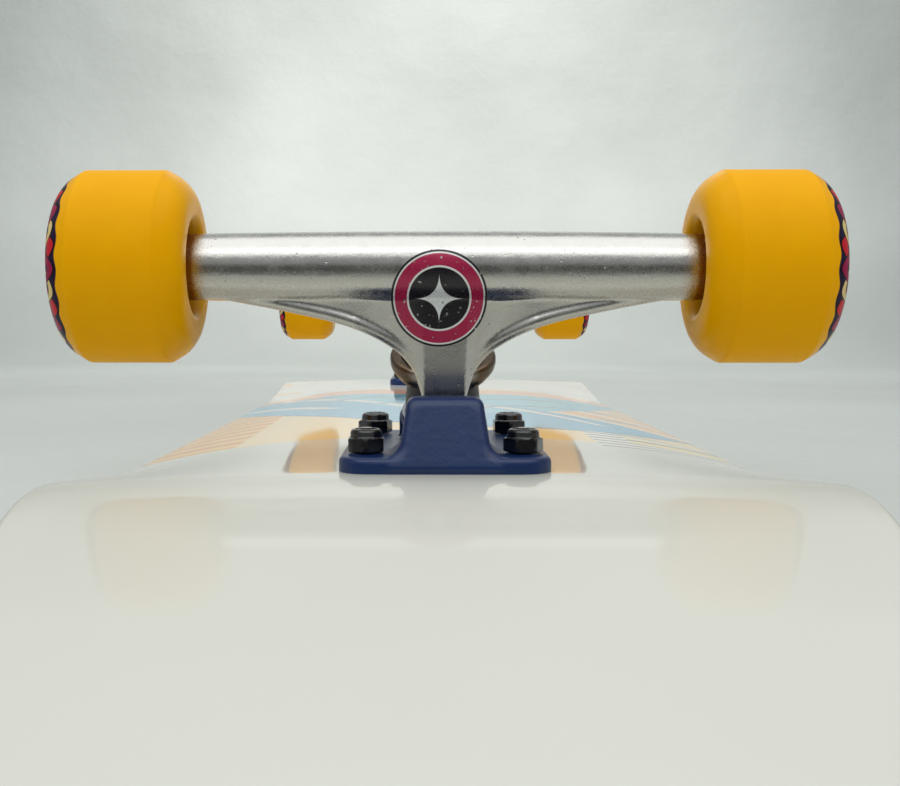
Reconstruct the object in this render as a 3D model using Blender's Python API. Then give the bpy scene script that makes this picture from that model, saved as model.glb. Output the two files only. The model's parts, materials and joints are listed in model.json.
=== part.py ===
"""Skateboard, standing wheels up on the tips of its nose and tail.

Frame: +Z up, X across the board, Y along it, origin on the floor under the board's middle.
The front truck is at -Y. Turned half a turn about Y, the board is ready to ride.
Each truck is drawn once, in its own frame: origin at the middle of its four bolts on the
deck's underside, -Y outward to the board's nearer tip, +Z away from the deck.
"""

import math

import bmesh
import bpy
from mathutils import Matrix, Vector

# ---- clearances ----
GAP = 0.0003                    # between any two pieces that touch

# ---- deck ----
DECK_HALF_LENGTH = 0.407
DECK_HALF_WIDTH = 0.1033
DECK_THICKNESS = 0.011
FLAT_HALF_WIDTH = 0.0285        # level strip along the middle
CONCAVE_MIDDLE = 0.0108         # how far the long edges turn away between the trucks
CONCAVE_END = 0.001
CONCAVE_FADE = (0.146, 0.2835)  # distance from the middle where one passes into the other
CONCAVE_POWER = 1.8
KICK_START = 0.245
KICK_RADIUS = 0.100
KICK_ANGLE = math.radians(20)
TAPER_START = 0.255
TAPER_REACH = 0.1533            # the tip's oval would close this far past TAPER_START
TAPER_POWER = 2.5
EDGE_ROUND = 0.0022
EDGE_LEVELS = (0.3, 0.7)        # depth of the widest band, as parts of the thickness
COLUMNS = (0.29, 0.48, 0.68, 0.86, 1.0)

# ---- grip sheet on the rider's side ----
GRIP_THICKNESS = 0.001
GRIP_INSET = 0.003

# ---- truck placing and bolt pattern ----
WHEELBASE = 0.362               # between the inner bolt holes
BOLT_PITCH_Y = 0.05398
BOLT_PITCH_X = 0.04128
BOLT_RADIUS = 0.00238
BOLT_HOLE = 0.00275
BOLT_HEAD_RADIUS = 0.0045
BOLT_HEAD_RIM = 0.0004
BOLT_HEAD_DEPTH = 0.003
BOLT_SOCKET = 0.0017
BOLT_SOCKET_DEPTH = 0.0014
BOLT_TOP = 0.0107
GRIP_HOLE = 0.0050
COUNTERSINK_SPREAD = 0.00045

# ---- baseplate ----
FLANGE_HALF = (0.0275, 0.040)
FLANGE_HEIGHT = 0.004
FLANGE_CORNER = 0.008
FLANGE_EDGE = 0.0008
TOWER_HEIGHT = 0.019
TOWER_HALF_TOP = 0.0101
TOWER_HALF_FOOT = 0.0112
TOWER_CORNER = 0.0026
TOWER_FILLET = 0.0050
TOWER_FRONT = 0.0389            # outward reach of the tower's foot
TOWER_FRONT_SLOPE = 0.35
RIB_X = 0.0095
RIB_HALF = 0.0015
RIB_PROFILE = ((-0.006, 0.004), (-0.006, 0.0062), (0.019, 0.0115), (0.022, 0.004))
TOWER_FRONT_ROUND = (0.0012, 0.0009)    # along and across its outer edge
BOSS_RADIUS = 0.0130

# ---- steering geometry ----
PIVOT_ANGLE = math.radians(25)
RING_CENTRE = Vector((0, 0.010, 0.02605))
PIVOT_MOUTH = 0.0342            # from the ring's centre along the pivot axis
CUP_DEPTH = 0.0110
CUP_BORE = 0.0056
CUP_FLOOR = 0.0026
PEG_RADIUS = (0.0043, 0.0035)   # at the cup's mouth and near the tip
PEG_END = 0.0418

# ---- kingpin stack, heights along the kingpin from the ring's centre ----
KINGPIN_RADIUS = 0.00475
KINGPIN_HOLE = 0.00505
KINGPIN_HEAD_RADIUS = 0.0075
KINGPIN_HEAD = (-0.0248, -0.0213)
KINGPIN_END = 0.0245
BOSS_TOP = -0.0171
RING_RADIUS = 0.0155
RING_RIM = (0.0004, 0.004)      # heights of its outer rim
RING_FOOT = (0.0131, -0.0030)   # radius and height of its underside's lip
RING_PLATE_HALF = 0.0022
RING_SEAT = 0.0121
RING_HOLE = 0.0068
LOWER_BUSHING = (-0.0150, -0.0025)
UPPER_BUSHING = (0.0025, 0.0132)
LOWER_BUSHING_RADII = (0.0112, 0.0101)  # at its lower end and its upper end
UPPER_BUSHING_RADII = (0.0114, 0.0096)
WASHER_RADIUS = 0.0122
WASHER_THICKNESS = 0.0015

# ---- hanger and axle ----
AXLE_OUT = 0.020
AXLE_HEIGHT = 0.053
AXLE_RADIUS = 0.004
AXLE_HOLE = 0.0043
AXLE_HALF = 0.1042
BARREL_HALF = 0.070
BARREL_RADIUS = (0.0095, 0.0088)    # at the middle and at the ends
# half of the hanger's lower edge, seen from the end: distance from the middle and height
WEB_EDGE = ((0.0063, 0.0190), (0.0085, 0.0252), (0.0140, 0.0312), (0.0250, 0.0368),
            (0.0410, 0.0408), (0.0610, 0.0446))
WEB_STATIONS = (0, 0.003, 0.0052, 0.0063, 0.0073, 0.0088, 0.0115, 0.016, 0.023, 0.032,
                0.042, 0.052, 0.061)
WEB_TIP_OUT = (0.0145, 0.0215)      # outward place of the lower edge, at the neck and far out
WEB_TIP_RADIUS = (0.0056, 0.0019)
NECK_RADIUS = 0.0060

# ---- wheels and bearings ----
WHEEL_RADIUS = 0.0255
WHEEL_HALF = 0.0174
TREAD_HALF = 0.0105
WHEEL_FACE = (0.0128, 0.0190)      # the flat side, from and to this radius
WHEEL_SHOULDER = (0.0230, 0.0148)   # radius and distance from the middle
BEARING_RADIUS = 0.011
BEARING_WIDTH = 0.007
SPACER_WIDTH = 0.010
SPACER_RADIUS = 0.0055
SPEED_WASHER = (0.0062, 0.0010)     # radius, thickness

# ---- nuts: half the width across flats, total height, collar radius and height, bore ----
MOUNT_NUT = (0.0046, 0.0061, 0.0042, 0.0021, 0.0028)
AXLE_NUT = (0.00635, 0.0057, 0.0058, 0.0018, 0.0044)
KINGPIN_NUT = (0.00714, 0.0072, 0.0067, 0.0022, 0.0051)

# ---- finishes: colour, roughness, metallic ----
FINISHES = {
    "deck_lacquer": ((0.86, 0.84, 0.80, 1), 0.12, 0.0),
    "grip": ((0.015, 0.015, 0.016, 1), 0.95, 0.0),
    "navy_paint": ((0.020, 0.040, 0.160, 1), 0.35, 0.0),
    "cast_aluminium": ((0.72, 0.72, 0.70, 1), 0.32, 1.0),
    "steel": ((0.55, 0.55, 0.56, 1), 0.28, 1.0),
    "black_steel": ((0.010, 0.010, 0.012, 1), 0.30, 0.6),
    "yellow_urethane": ((0.86, 0.47, 0.02, 1), 0.32, 0.0),
    "black_urethane": ((0.012, 0.012, 0.013, 1), 0.45, 0.0),
}


# ---------------------------------------------------------------- mesh tools

def finish_mesh(bm, name, finish):
    """Close up a bmesh, turn its faces outward and return it as a mesh with its finish."""
    bmesh.ops.remove_doubles(bm, verts=bm.verts, dist=1e-6)
    bmesh.ops.recalc_face_normals(bm, faces=bm.faces)
    mesh = bpy.data.meshes.new(name)
    bm.to_mesh(mesh)
    bm.free()
    mesh.materials.append(material(finish))
    return mesh


def material(finish):
    """The finish's material, made the first time that it is asked for."""
    if finish in bpy.data.materials:
        return bpy.data.materials[finish]
    colour, roughness, metallic = FINISHES[finish]
    mat = bpy.data.materials.new(finish)
    mat.use_nodes = True
    shader = mat.node_tree.nodes["Principled BSDF"]
    shader.inputs["Base Color"].default_value = colour
    shader.inputs["Roughness"].default_value = roughness
    shader.inputs["Metallic"].default_value = metallic
    mat.diffuse_color = colour
    return mat


def turned(profile, segments, name, finish, ring=False):
    """Turn (radius, height) points about Z. A ring's profile closes on itself."""
    bm = bmesh.new()
    verts = [bm.verts.new((radius, 0, height)) for radius, height in profile]
    edges = [bm.edges.new(pair) for pair in zip(verts, verts[1:])]
    if ring:
        edges.append(bm.edges.new((verts[-1], verts[0])))
    bmesh.ops.spin(bm, geom=verts + edges, cent=(0, 0, 0), axis=(0, 0, 1),
                   angle=math.tau, steps=segments)
    return finish_mesh(bm, name, finish)


def skinned(sections, name, finish, loop=False):
    """Skin a row of equal-length sections. A loop's last section joins its first."""
    bm = bmesh.new()
    rows = [[bm.verts.new(point) for point in section] for section in sections]
    pairs = list(zip(rows, rows[1:]))
    if loop:
        pairs.append((rows[-1], rows[0]))
    else:
        bm.faces.new(rows[0])
        bm.faces.new(rows[-1])
    for row, following in pairs:
        for i in range(len(row)):
            k = (i + 1) % len(row)
            add_split_quad(bm, row[i], row[k], following[k], following[i])
    return finish_mesh(bm, name, finish)


def add_split_quad(bm, a, b, c, d):
    """Two triangles that meet on the higher diagonal, so that parallel skins fold alike."""
    if (a.co + c.co).z > (b.co + d.co).z:
        triangles = ((a, b, c), (a, c, d))
    else:
        triangles = ((a, b, d), (b, c, d))
    for triangle in triangles:
        bm.faces.new(triangle)


def combined(base, tools, operation):
    """Join or cut a mesh with others, one after another."""
    for tool in tools:
        holder = bpy.data.objects.new("base", base)
        cutter = bpy.data.objects.new("tool", tool)
        for obj in (holder, cutter):
            bpy.context.scene.collection.objects.link(obj)
        step = holder.modifiers.new("step", "BOOLEAN")
        step.operation = operation
        step.solver = "EXACT"
        step.object = cutter
        bpy.context.view_layer.update()
        evaluated = holder.evaluated_get(bpy.context.evaluated_depsgraph_get())
        result = bpy.data.meshes.new_from_object(evaluated)
        result.name = base.name
        for obj in (holder, cutter):
            bpy.data.objects.remove(obj)
        base = result
    return base


def moved(mesh, matrix):
    mesh.transform(matrix)
    return mesh


def arc(centre, radius, start, end, steps):
    """Points on an arc, from one angle in degrees to another."""
    angles = [math.radians(start + (end - start) * i / steps) for i in range(steps + 1)]
    return [(centre[0] + radius * math.cos(a), centre[1] + radius * math.sin(a)) for a in angles]


def smoothstep(value):
    value = min(1.0, max(0.0, value))
    return value * value * (3 - 2 * value)


def mix(pair, share):
    return pair[0] + (pair[1] - pair[0]) * share


# ---------------------------------------------------------------- deck and grip sheet

def kick(distance):
    """Drop of the deck's underside at a distance from the middle, and its slope."""
    bend = KICK_RADIUS * math.sin(KICK_ANGLE)
    along = distance - KICK_START
    if along <= 0:
        return 0.0, 0.0
    if along < bend:
        slope = math.asin(along / KICK_RADIUS)
        return KICK_RADIUS * (1 - math.cos(slope)), slope
    drop = KICK_RADIUS * (1 - math.cos(KICK_ANGLE)) + (along - bend) * math.tan(KICK_ANGLE)
    return drop, KICK_ANGLE


def concave(x, distance):
    """How far the underside turns away at x from the middle line."""
    start, end = CONCAVE_FADE
    depth = mix((CONCAVE_MIDDLE, CONCAVE_END), smoothstep((distance - start) / (end - start)))
    reach = max(0.0, abs(x) - FLAT_HALF_WIDTH) / (DECK_HALF_WIDTH - FLAT_HALF_WIDTH)
    return depth * reach ** CONCAVE_POWER


def half_width(distance):
    past = max(0.0, distance - TAPER_START) / TAPER_REACH
    return DECK_HALF_WIDTH * (1 - past ** TAPER_POWER) ** (1 / TAPER_POWER)


def board_point(x, y, depth):
    """A point at a depth under the deck's underside, measured square to the kick."""
    drop, slope = kick(abs(y))
    outward = math.copysign(math.sin(slope), y)
    surface = Vector((x, y, -drop - concave(x, abs(y))))
    return surface - depth * Vector((0, outward, math.cos(slope)))


def board_stations(last):
    """Distances from the middle that follow the concave, the bend and the rounded tip."""
    level = [0.075, 0.150, 0.180, 0.210, KICK_START]
    bent = [KICK_START + KICK_RADIUS * math.sin(KICK_ANGLE * i / 3) for i in range(1, 4)]
    start = bent[-1]
    reach = DECK_HALF_LENGTH - start
    tip = [start + reach * math.sin(math.radians(90 * i / 7)) for i in range(1, 8)]
    half = [d for d in level + bent + tip if d < last - EDGE_ROUND / 2] + [last]
    return [-d for d in reversed(half)] + [0.0] + half


def columns(half, outermost):
    """Places across the board, the same for its sheets, so that they lie parallel."""
    right = [c * half for c in COLUMNS[:-1]] + [outermost]
    return [-x for x in reversed(right)] + right


def deck_mesh():
    upper, lower = (level * DECK_THICKNESS for level in EDGE_LEVELS)
    sections = []
    for y in board_stations(DECK_HALF_LENGTH):
        width = half_width(abs(y))
        tip = abs(y) == DECK_HALF_LENGTH
        top, bottom = (upper, lower) if tip else (0.0, DECK_THICKNESS)
        rim = (mix((upper, lower), 0.3), mix((upper, lower), 0.7)) if tip else (upper, lower)
        across = columns(width - EDGE_ROUND, width - EDGE_ROUND)
        outline = [(x, top) for x in across] + [(width, depth) for depth in rim]
        outline += [(x, bottom) for x in reversed(across)]
        outline += [(-width, depth) for depth in reversed(rim)]
        sections.append([board_point(x, y, depth) for x, depth in outline])
    deck = skinned(sections, "deck", "deck_lacquer")
    return combined(deck, [bolt_hole_cutters()], "DIFFERENCE")


def grip_mesh():
    top = DECK_THICKNESS + GAP
    bottom = top + GRIP_THICKNESS
    sections = []
    for y in board_stations(DECK_HALF_LENGTH - GRIP_INSET):
        width = half_width(abs(y))
        across = columns(width - EDGE_ROUND, width - GRIP_INSET)
        outline = [(x, top) for x in across] + [(x, bottom) for x in reversed(across)]
        sections.append([board_point(x, y, depth) for x, depth in outline])
    grip = skinned(sections, "grip_sheet", "grip")
    cutters = joined([rod(GRIP_HOLE, -0.02, 0.0, 12, spot) for spot in deck_bolt_places()])
    return combined(grip, [cutters], "DIFFERENCE")


def deck_bolt_places():
    """The eight bolts' places on the deck's underside."""
    centre = bolt_centre_y()
    return [(x, end * centre + y) for end in (-1, 1) for x, y in bolt_places()]


def bolt_centre_y():
    return (WHEELBASE + BOLT_PITCH_Y) / 2


def bolt_places():
    """The four bolts' places in a truck's frame."""
    return [(sx * BOLT_PITCH_X / 2, sy * BOLT_PITCH_Y / 2) for sy in (-1, 1) for sx in (-1, 1)]


def rod(radius, low, high, segments, spot=(0, 0)):
    profile = [(0, low), (radius, low), (radius, high), (0, high)]
    mesh = turned(profile, segments, "rod", "steel")
    return moved(mesh, Matrix.Translation((spot[0], spot[1], 0)))


def joined(meshes):
    """Several closed bodies that stay apart, as one mesh to cut with."""
    bm = bmesh.new()
    for mesh in meshes:
        bm.from_mesh(mesh)
    result = bpy.data.meshes.new("cutters")
    bm.to_mesh(result)
    bm.free()
    return result


def head_levels():
    """Heights of a bolt head's face, its rim and its foot, from the deck's underside."""
    face = -(DECK_THICKNESS + GRIP_THICKNESS)
    return face, face + BOLT_HEAD_RIM, face + BOLT_HEAD_DEPTH


def bolt_hole_cutters():
    face, rim, foot = head_levels()
    wide = BOLT_HEAD_RADIUS + COUNTERSINK_SPREAD
    profile = [(0, face - 0.01), (wide, face - 0.01), (wide, rim), (BOLT_HOLE, foot + GAP),
               (BOLT_HOLE, 0.01), (0, 0.01)]
    cutters = []
    for x, y in deck_bolt_places():
        hole = turned(profile, 12, "hole", "steel")
        cutters.append(moved(hole, Matrix.Translation((x, y, 0))))
    return joined(cutters)


# ---------------------------------------------------------------- baseplate and pivot cup

def tilt_frame():
    """The ring's frame: Y up the pivot axis toward the board's middle, Z up the kingpin."""
    return Matrix.Translation(RING_CENTRE) @ Matrix.Rotation(PIVOT_ANGLE, 4, "X")


def along_pivot():
    """Lays a turned piece on the pivot axis, its heights running outward from the ring."""
    return tilt_frame() @ Matrix.Rotation(math.pi / 2, 4, "X")


def flange_mesh():
    half_x, half_y = FLANGE_HALF
    corners = ((1, 1, 0), (-1, 1, 90), (-1, -1, 180), (1, -1, 270))

    def outline(inset, height):
        radius = FLANGE_CORNER - inset
        points = []
        for sx, sy, start in corners:
            centre = (sx * (half_x - FLANGE_CORNER), sy * (half_y - FLANGE_CORNER))
            points += [(x, y, height) for x, y in arc(centre, radius, start, start + 90, 4)]
        return points

    levels = [(0, 0), (0, FLANGE_HEIGHT - FLANGE_EDGE), (FLANGE_EDGE, FLANGE_HEIGHT)]
    sections = [outline(inset, height) for inset, height in levels]
    return skinned(sections, "baseplate", "navy_paint")


def tower_outline(inset):
    """Half of the tower seen from its end, from its foot to its top, as (x, height)."""
    foot = TOWER_HALF_FOOT + TOWER_FILLET
    points = [(foot, FLANGE_HEIGHT - 0.001)]
    points += arc((foot, FLANGE_HEIGHT + TOWER_FILLET), TOWER_FILLET, 270, 180, 3)
    centre = (TOWER_HALF_TOP - TOWER_CORNER, TOWER_HEIGHT - TOWER_CORNER)
    points += arc(centre, TOWER_CORNER, 0, 90, 3)
    return [(x - inset if x > inset else x, z - inset) for x, z in points]


def tower_mesh():
    """The pivot housing: its inner end is square to the pivot axis, its outer end leans back."""
    mouth = along_pivot() @ Vector((0, 0, PIVOT_MOUTH))
    lean = math.tan(PIVOT_ANGLE)

    def section(inset, place):
        half = tower_outline(inset)
        outline = half + [(-x, z) for x, z in reversed(half)]
        return [(x, -place(z), z) for x, z in outline]

    def inner(z):
        return -mouth.y + (z - mouth.z) * lean

    def outer(z):
        return TOWER_FRONT - (z - FLANGE_HEIGHT) * TOWER_FRONT_SLOPE

    back, inset = TOWER_FRONT_ROUND
    sections = [section(0, inner), section(0, lambda z: outer(z) - back), section(inset, outer)]
    return skinned(sections, "tower", "navy_paint")


def rib_mesh(side):
    """A low rib from the tower to the kingpin's boss."""
    sections = [[(side * RIB_X + offset, -out, z) for out, z in RIB_PROFILE]
                for offset in (-RIB_HALF, RIB_HALF)]
    return skinned(sections, "rib", "navy_paint")


def baseplate_mesh():
    boss = moved(rod(BOSS_RADIUS, -0.035, BOSS_TOP, 24), tilt_frame())
    shell = combined(flange_mesh(), [tower_mesh(), rib_mesh(-1), rib_mesh(1), boss], "UNION")
    below = rod(0.09, -0.05, 0.0, 16)
    bore = moved(rod(CUP_BORE, PIVOT_MOUTH - 0.004, PIVOT_MOUTH + CUP_DEPTH, 20), along_pivot())
    recess = moved(rod(KINGPIN_HEAD_RADIUS + 0.0005, -0.05, KINGPIN_HEAD[1] + GAP, 20), tilt_frame())
    kingpin_hole = moved(rod(KINGPIN_HOLE, -0.03, 0.0, 16), tilt_frame())
    bolt_holes = joined([rod(BOLT_HOLE, -0.01, 0.02, 12, spot) for spot in bolt_places()])
    return combined(shell, [below, bore, recess, kingpin_hole, bolt_holes], "DIFFERENCE")


def pivot_cup_mesh():
    outer = CUP_BORE - GAP
    floor = PIVOT_MOUTH + CUP_DEPTH - GAP
    mouth, tip = (radius + GAP for radius in PEG_RADIUS)
    profile = [(0, floor), (outer, floor), (outer, PIVOT_MOUTH), (mouth, PIVOT_MOUTH),
               (tip, floor - CUP_FLOOR), (0, floor - CUP_FLOOR)]
    return moved(turned(profile, 16, "pivot_cup", "black_urethane"), along_pivot())


# ---------------------------------------------------------------- kingpin stack

def kingpin_mesh():
    low, high = KINGPIN_HEAD
    r, chamfer = KINGPIN_RADIUS, 0.0008
    profile = [(0, low), (KINGPIN_HEAD_RADIUS - chamfer, low), (KINGPIN_HEAD_RADIUS, low + chamfer),
               (KINGPIN_HEAD_RADIUS, high), (r, high), (r, KINGPIN_END - chamfer),
               (r - chamfer, KINGPIN_END), (0, KINGPIN_END)]
    return turned(profile, 16, "kingpin", "steel")


def bushing_mesh(span, end_radii, name):
    low, high = span
    bore = KINGPIN_HOLE
    step = 0.0012
    bottom, top = end_radii
    belly = (bottom + top) / 2 + 0.0003
    profile = [(bore, low), (bottom - step, low), (bottom, low + step), (belly, (low + high) / 2),
               (top, high), (bore, high)]
    return turned(profile, 16, name, "black_urethane", ring=True)


def washer_mesh(low, name):
    high = low + WASHER_THICKNESS
    profile = [(KINGPIN_HOLE, low), (WASHER_RADIUS, low), (WASHER_RADIUS, high), (KINGPIN_HOLE, high)]
    return turned(profile, 16, name, "steel", ring=True)


def nut_mesh(sizes, low, name, finish):
    """A hexagonal lock nut: six flats, and a round collar on top that grips the thread."""
    flat, height, collar, collar_height, bore = sizes

    def hexagon(z):
        points = []
        for i in range(12):
            radius = flat / math.cos(math.pi / 6) if i % 2 == 0 else flat
            angle = math.pi * i / 6
            points.append((radius * math.cos(angle), radius * math.sin(angle), z))
        return points

    def circle(radius, z):
        return [(radius * math.cos(math.pi * i / 6), radius * math.sin(math.pi * i / 6), z)
                for i in range(12)]

    shoulder = low + height - collar_height
    top = low + height
    sections = [circle(bore, low), hexagon(low), hexagon(shoulder), circle(collar, top),
                circle(bore, top)]
    return skinned(sections, name, finish, loop=True)


# ---------------------------------------------------------------- hanger

def web_edge_height(x):
    """Height of the hanger's lower edge at x from the middle, on a smooth curve."""
    points = WEB_EDGE
    x = min(max(x, points[0][0]), points[-1][0])
    for i in range(len(points) - 1):
        if x <= points[i + 1][0]:
            break
    before = points[max(0, i - 1)]
    start, end = points[i], points[i + 1]
    after = points[min(len(points) - 1, i + 2)]
    span = end[0] - start[0]
    t = (x - start[0]) / span
    slope_in = (end[1] - before[1]) / (end[0] - before[0]) * span
    slope_out = (after[1] - start[1]) / (after[0] - start[0]) * span
    return ((2 * t ** 3 - 3 * t ** 2 + 1) * start[1] + (t ** 3 - 2 * t ** 2 + t) * slope_in
            + (3 * t ** 2 - 2 * t ** 3) * end[1] + (t ** 3 - t ** 2) * slope_out)


def hanger_section(x, count):
    """The hanger cut at x: the barrel's circle and the web's thin lower edge, wrapped together."""
    distance = abs(x)
    barrel = ((AXLE_OUT, AXLE_HEIGHT), mix(BARREL_RADIUS, (distance / BARREL_HALF) ** 2))
    neck, thin = WEB_TIP_RADIUS
    if distance < WEB_EDGE[0][0]:
        tip_radius = neck
        height = WEB_EDGE[0][1]
    else:
        tip_radius = thin + (neck - thin) * math.exp(-(distance - WEB_EDGE[0][0]) / 0.0045)
        height = web_edge_height(distance) + tip_radius
    out = mix(WEB_TIP_OUT, smoothstep((distance - 0.004) / 0.022))
    circles = [barrel, ((out, height), tip_radius)]
    points = []
    for i in range(count):
        angle = math.tau * i / count
        direction = (math.cos(angle), math.sin(angle))
        centre, radius = max(circles, key=lambda c: c[0][0] * direction[0] + c[0][1] * direction[1] + c[1])
        points.append((x, -(centre[0] + radius * direction[0]), centre[1] + radius * direction[1]))
    return points


def hanger_mesh():
    half = list(WEB_STATIONS[1:]) + [BARREL_HALF - 0.0006]
    stations = [-x for x in reversed(half)] + [0.0] + half
    body = skinned([hanger_section(x, 16) for x in stations], "hanger", "cast_aluminium")
    neck_start = RING_SEAT + 0.0011
    shoulder = PIVOT_MOUTH - 0.0012
    mouth, tip = PEG_RADIUS
    peg_profile = [(0, neck_start), (NECK_RADIUS - 0.0008, neck_start), (NECK_RADIUS, neck_start + 0.004),
                   (NECK_RADIUS, shoulder - 0.003), (mouth, shoulder), (mouth, PIVOT_MOUTH),
                   (tip, PEG_END - 0.0012), (tip - 0.0012, PEG_END), (0, PEG_END)]
    peg = moved(turned(peg_profile, 16, "peg", "cast_aluminium"), along_pivot())
    (rim_low, rim_top), plate = RING_RIM, RING_PLATE_HALF
    foot, lip = RING_FOOT
    ring_profile = [(RING_HOLE, -plate), (RING_SEAT, -plate), (RING_SEAT, lip), (foot, lip),
                    (RING_RADIUS, rim_low), (RING_RADIUS, rim_top), (RING_SEAT, rim_top),
                    (RING_SEAT, plate), (RING_HOLE, plate)]
    ring = moved(turned(ring_profile, 20, "ring", "cast_aluminium", ring=True), tilt_frame())
    body = combined(body, [peg, ring], "UNION")
    across = Matrix.Translation((0, -AXLE_OUT, AXLE_HEIGHT)) @ Matrix.Rotation(math.pi / 2, 4, "Y")
    axle_hole = moved(rod(AXLE_HOLE, -0.08, 0.08, 16), across)
    return combined(body, [axle_hole], "DIFFERENCE")


# ---------------------------------------------------------------- axle, wheels and bearings

def to_axle():
    """Turns a piece drawn along Z so that its heights run to +X."""
    return Matrix.Rotation(math.pi / 2, 4, "Y")


def axle_mesh():
    end, chamfer = AXLE_HALF, 0.0008
    profile = [(0, -end), (AXLE_RADIUS - chamfer, -end), (AXLE_RADIUS, -end + chamfer),
               (AXLE_RADIUS, end - chamfer), (AXLE_RADIUS - chamfer, end), (0, end)]
    return moved(turned(profile, 16, "axle", "steel"), to_axle())


def wheel_mesh():
    """A wheel about its own centre, its outer side to +X."""
    seat = BEARING_RADIUS + GAP
    seat_start = SPACER_WIDTH / 2 - GAP
    seat_end = SPACER_WIDTH / 2 + BEARING_WIDTH + GAP
    half = [(seat, seat_start), (seat, seat_end), (WHEEL_FACE[0], WHEEL_HALF),
            (WHEEL_FACE[1], WHEEL_HALF), WHEEL_SHOULDER, (WHEEL_RADIUS, TREAD_HALF)]
    core = SPACER_RADIUS + 0.0025
    profile = [(core, -seat_start), (core, seat_start)] + half
    profile += [(radius, -along) for radius, along in reversed(half)]
    return moved(turned(profile, 24, "wheel", "yellow_urethane", ring=True), to_axle())


def bearing_set_mesh():
    """Two bearings on one spacer, about the wheel's centre."""
    inner = SPACER_WIDTH / 2
    outer = inner + BEARING_WIDTH
    profile = [(AXLE_HOLE, -outer), (BEARING_RADIUS, -outer), (BEARING_RADIUS, -inner),
               (SPACER_RADIUS, -inner), (SPACER_RADIUS, inner), (BEARING_RADIUS, inner),
               (BEARING_RADIUS, outer), (AXLE_HOLE, outer)]
    return moved(turned(profile, 16, "bearing_set", "steel", ring=True), to_axle())


def speed_washer_mesh():
    radius, thickness = SPEED_WASHER
    profile = [(AXLE_HOLE, 0), (radius, 0), (radius, thickness), (AXLE_HOLE, thickness)]
    return moved(turned(profile, 12, "speed_washer", "steel", ring=True), to_axle())


# ---------------------------------------------------------------- fasteners

def bolt_mesh():
    face, rim, foot = head_levels()
    socket_floor = face + BOLT_SOCKET_DEPTH
    profile = [(0, socket_floor), (BOLT_SOCKET, socket_floor), (BOLT_SOCKET, face),
               (BOLT_HEAD_RADIUS, face), (BOLT_HEAD_RADIUS, rim), (BOLT_RADIUS, foot),
               (BOLT_RADIUS, BOLT_TOP), (0, BOLT_TOP)]
    return turned(profile, 12, "mounting_bolt", "black_steel")


# ---------------------------------------------------------------- placing

def place(name, mesh, parent, world):
    """A named sub-part at its place in the world, under its parent."""
    obj = bpy.data.objects.new(name, mesh)
    bpy.context.scene.collection.objects.link(obj)
    obj.parent = parent
    obj.matrix_world = world
    mesh.shade_smooth()
    mesh.set_sharp_from_angle(angle=math.radians(35))
    return obj


def empty(name, parent, world):
    obj = bpy.data.objects.new(name, None)
    obj.empty_display_size = 0.02
    bpy.context.scene.collection.objects.link(obj)
    obj.parent = parent
    obj.matrix_world = world
    bpy.context.view_layer.update()
    return obj


def deck_height():
    """Height of the deck's underside: the grip sheet's tips touch the floor."""
    drop, slope = kick(DECK_HALF_LENGTH - GRIP_INSET)
    return drop + (DECK_THICKNESS + GAP + GRIP_THICKNESS) * math.cos(slope)


def truck_meshes():
    """One mesh for each kind of truck piece, shared by both trucks."""
    lower_washer = BOSS_TOP + GAP
    upper_washer = UPPER_BUSHING[1] + GAP
    nut_seat = upper_washer + WASHER_THICKNESS + GAP
    return {
        "baseplate": baseplate_mesh(),
        "pivot_cup": pivot_cup_mesh(),
        "hanger": hanger_mesh(),
        "kingpin": kingpin_mesh(),
        "lower_washer": washer_mesh(lower_washer, "lower_washer"),
        "lower_bushing": bushing_mesh(LOWER_BUSHING, LOWER_BUSHING_RADII, "lower_bushing"),
        "upper_bushing": bushing_mesh(UPPER_BUSHING, UPPER_BUSHING_RADII, "upper_bushing"),
        "upper_washer": washer_mesh(upper_washer, "upper_washer"),
        "kingpin_nut": nut_mesh(KINGPIN_NUT, nut_seat, "kingpin_nut", "steel"),
        "mounting_bolt": bolt_mesh(),
        "mounting_nut": nut_mesh(MOUNT_NUT, FLANGE_HEIGHT + GAP, "mounting_nut", "black_steel"),
        "axle": axle_mesh(),
        "wheel": wheel_mesh(),
        "bearings": bearing_set_mesh(),
        "speed_washer": speed_washer_mesh(),
        "axle_nut": moved(nut_mesh(AXLE_NUT, 0, "axle_nut", "steel"), to_axle()),
    }


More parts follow.
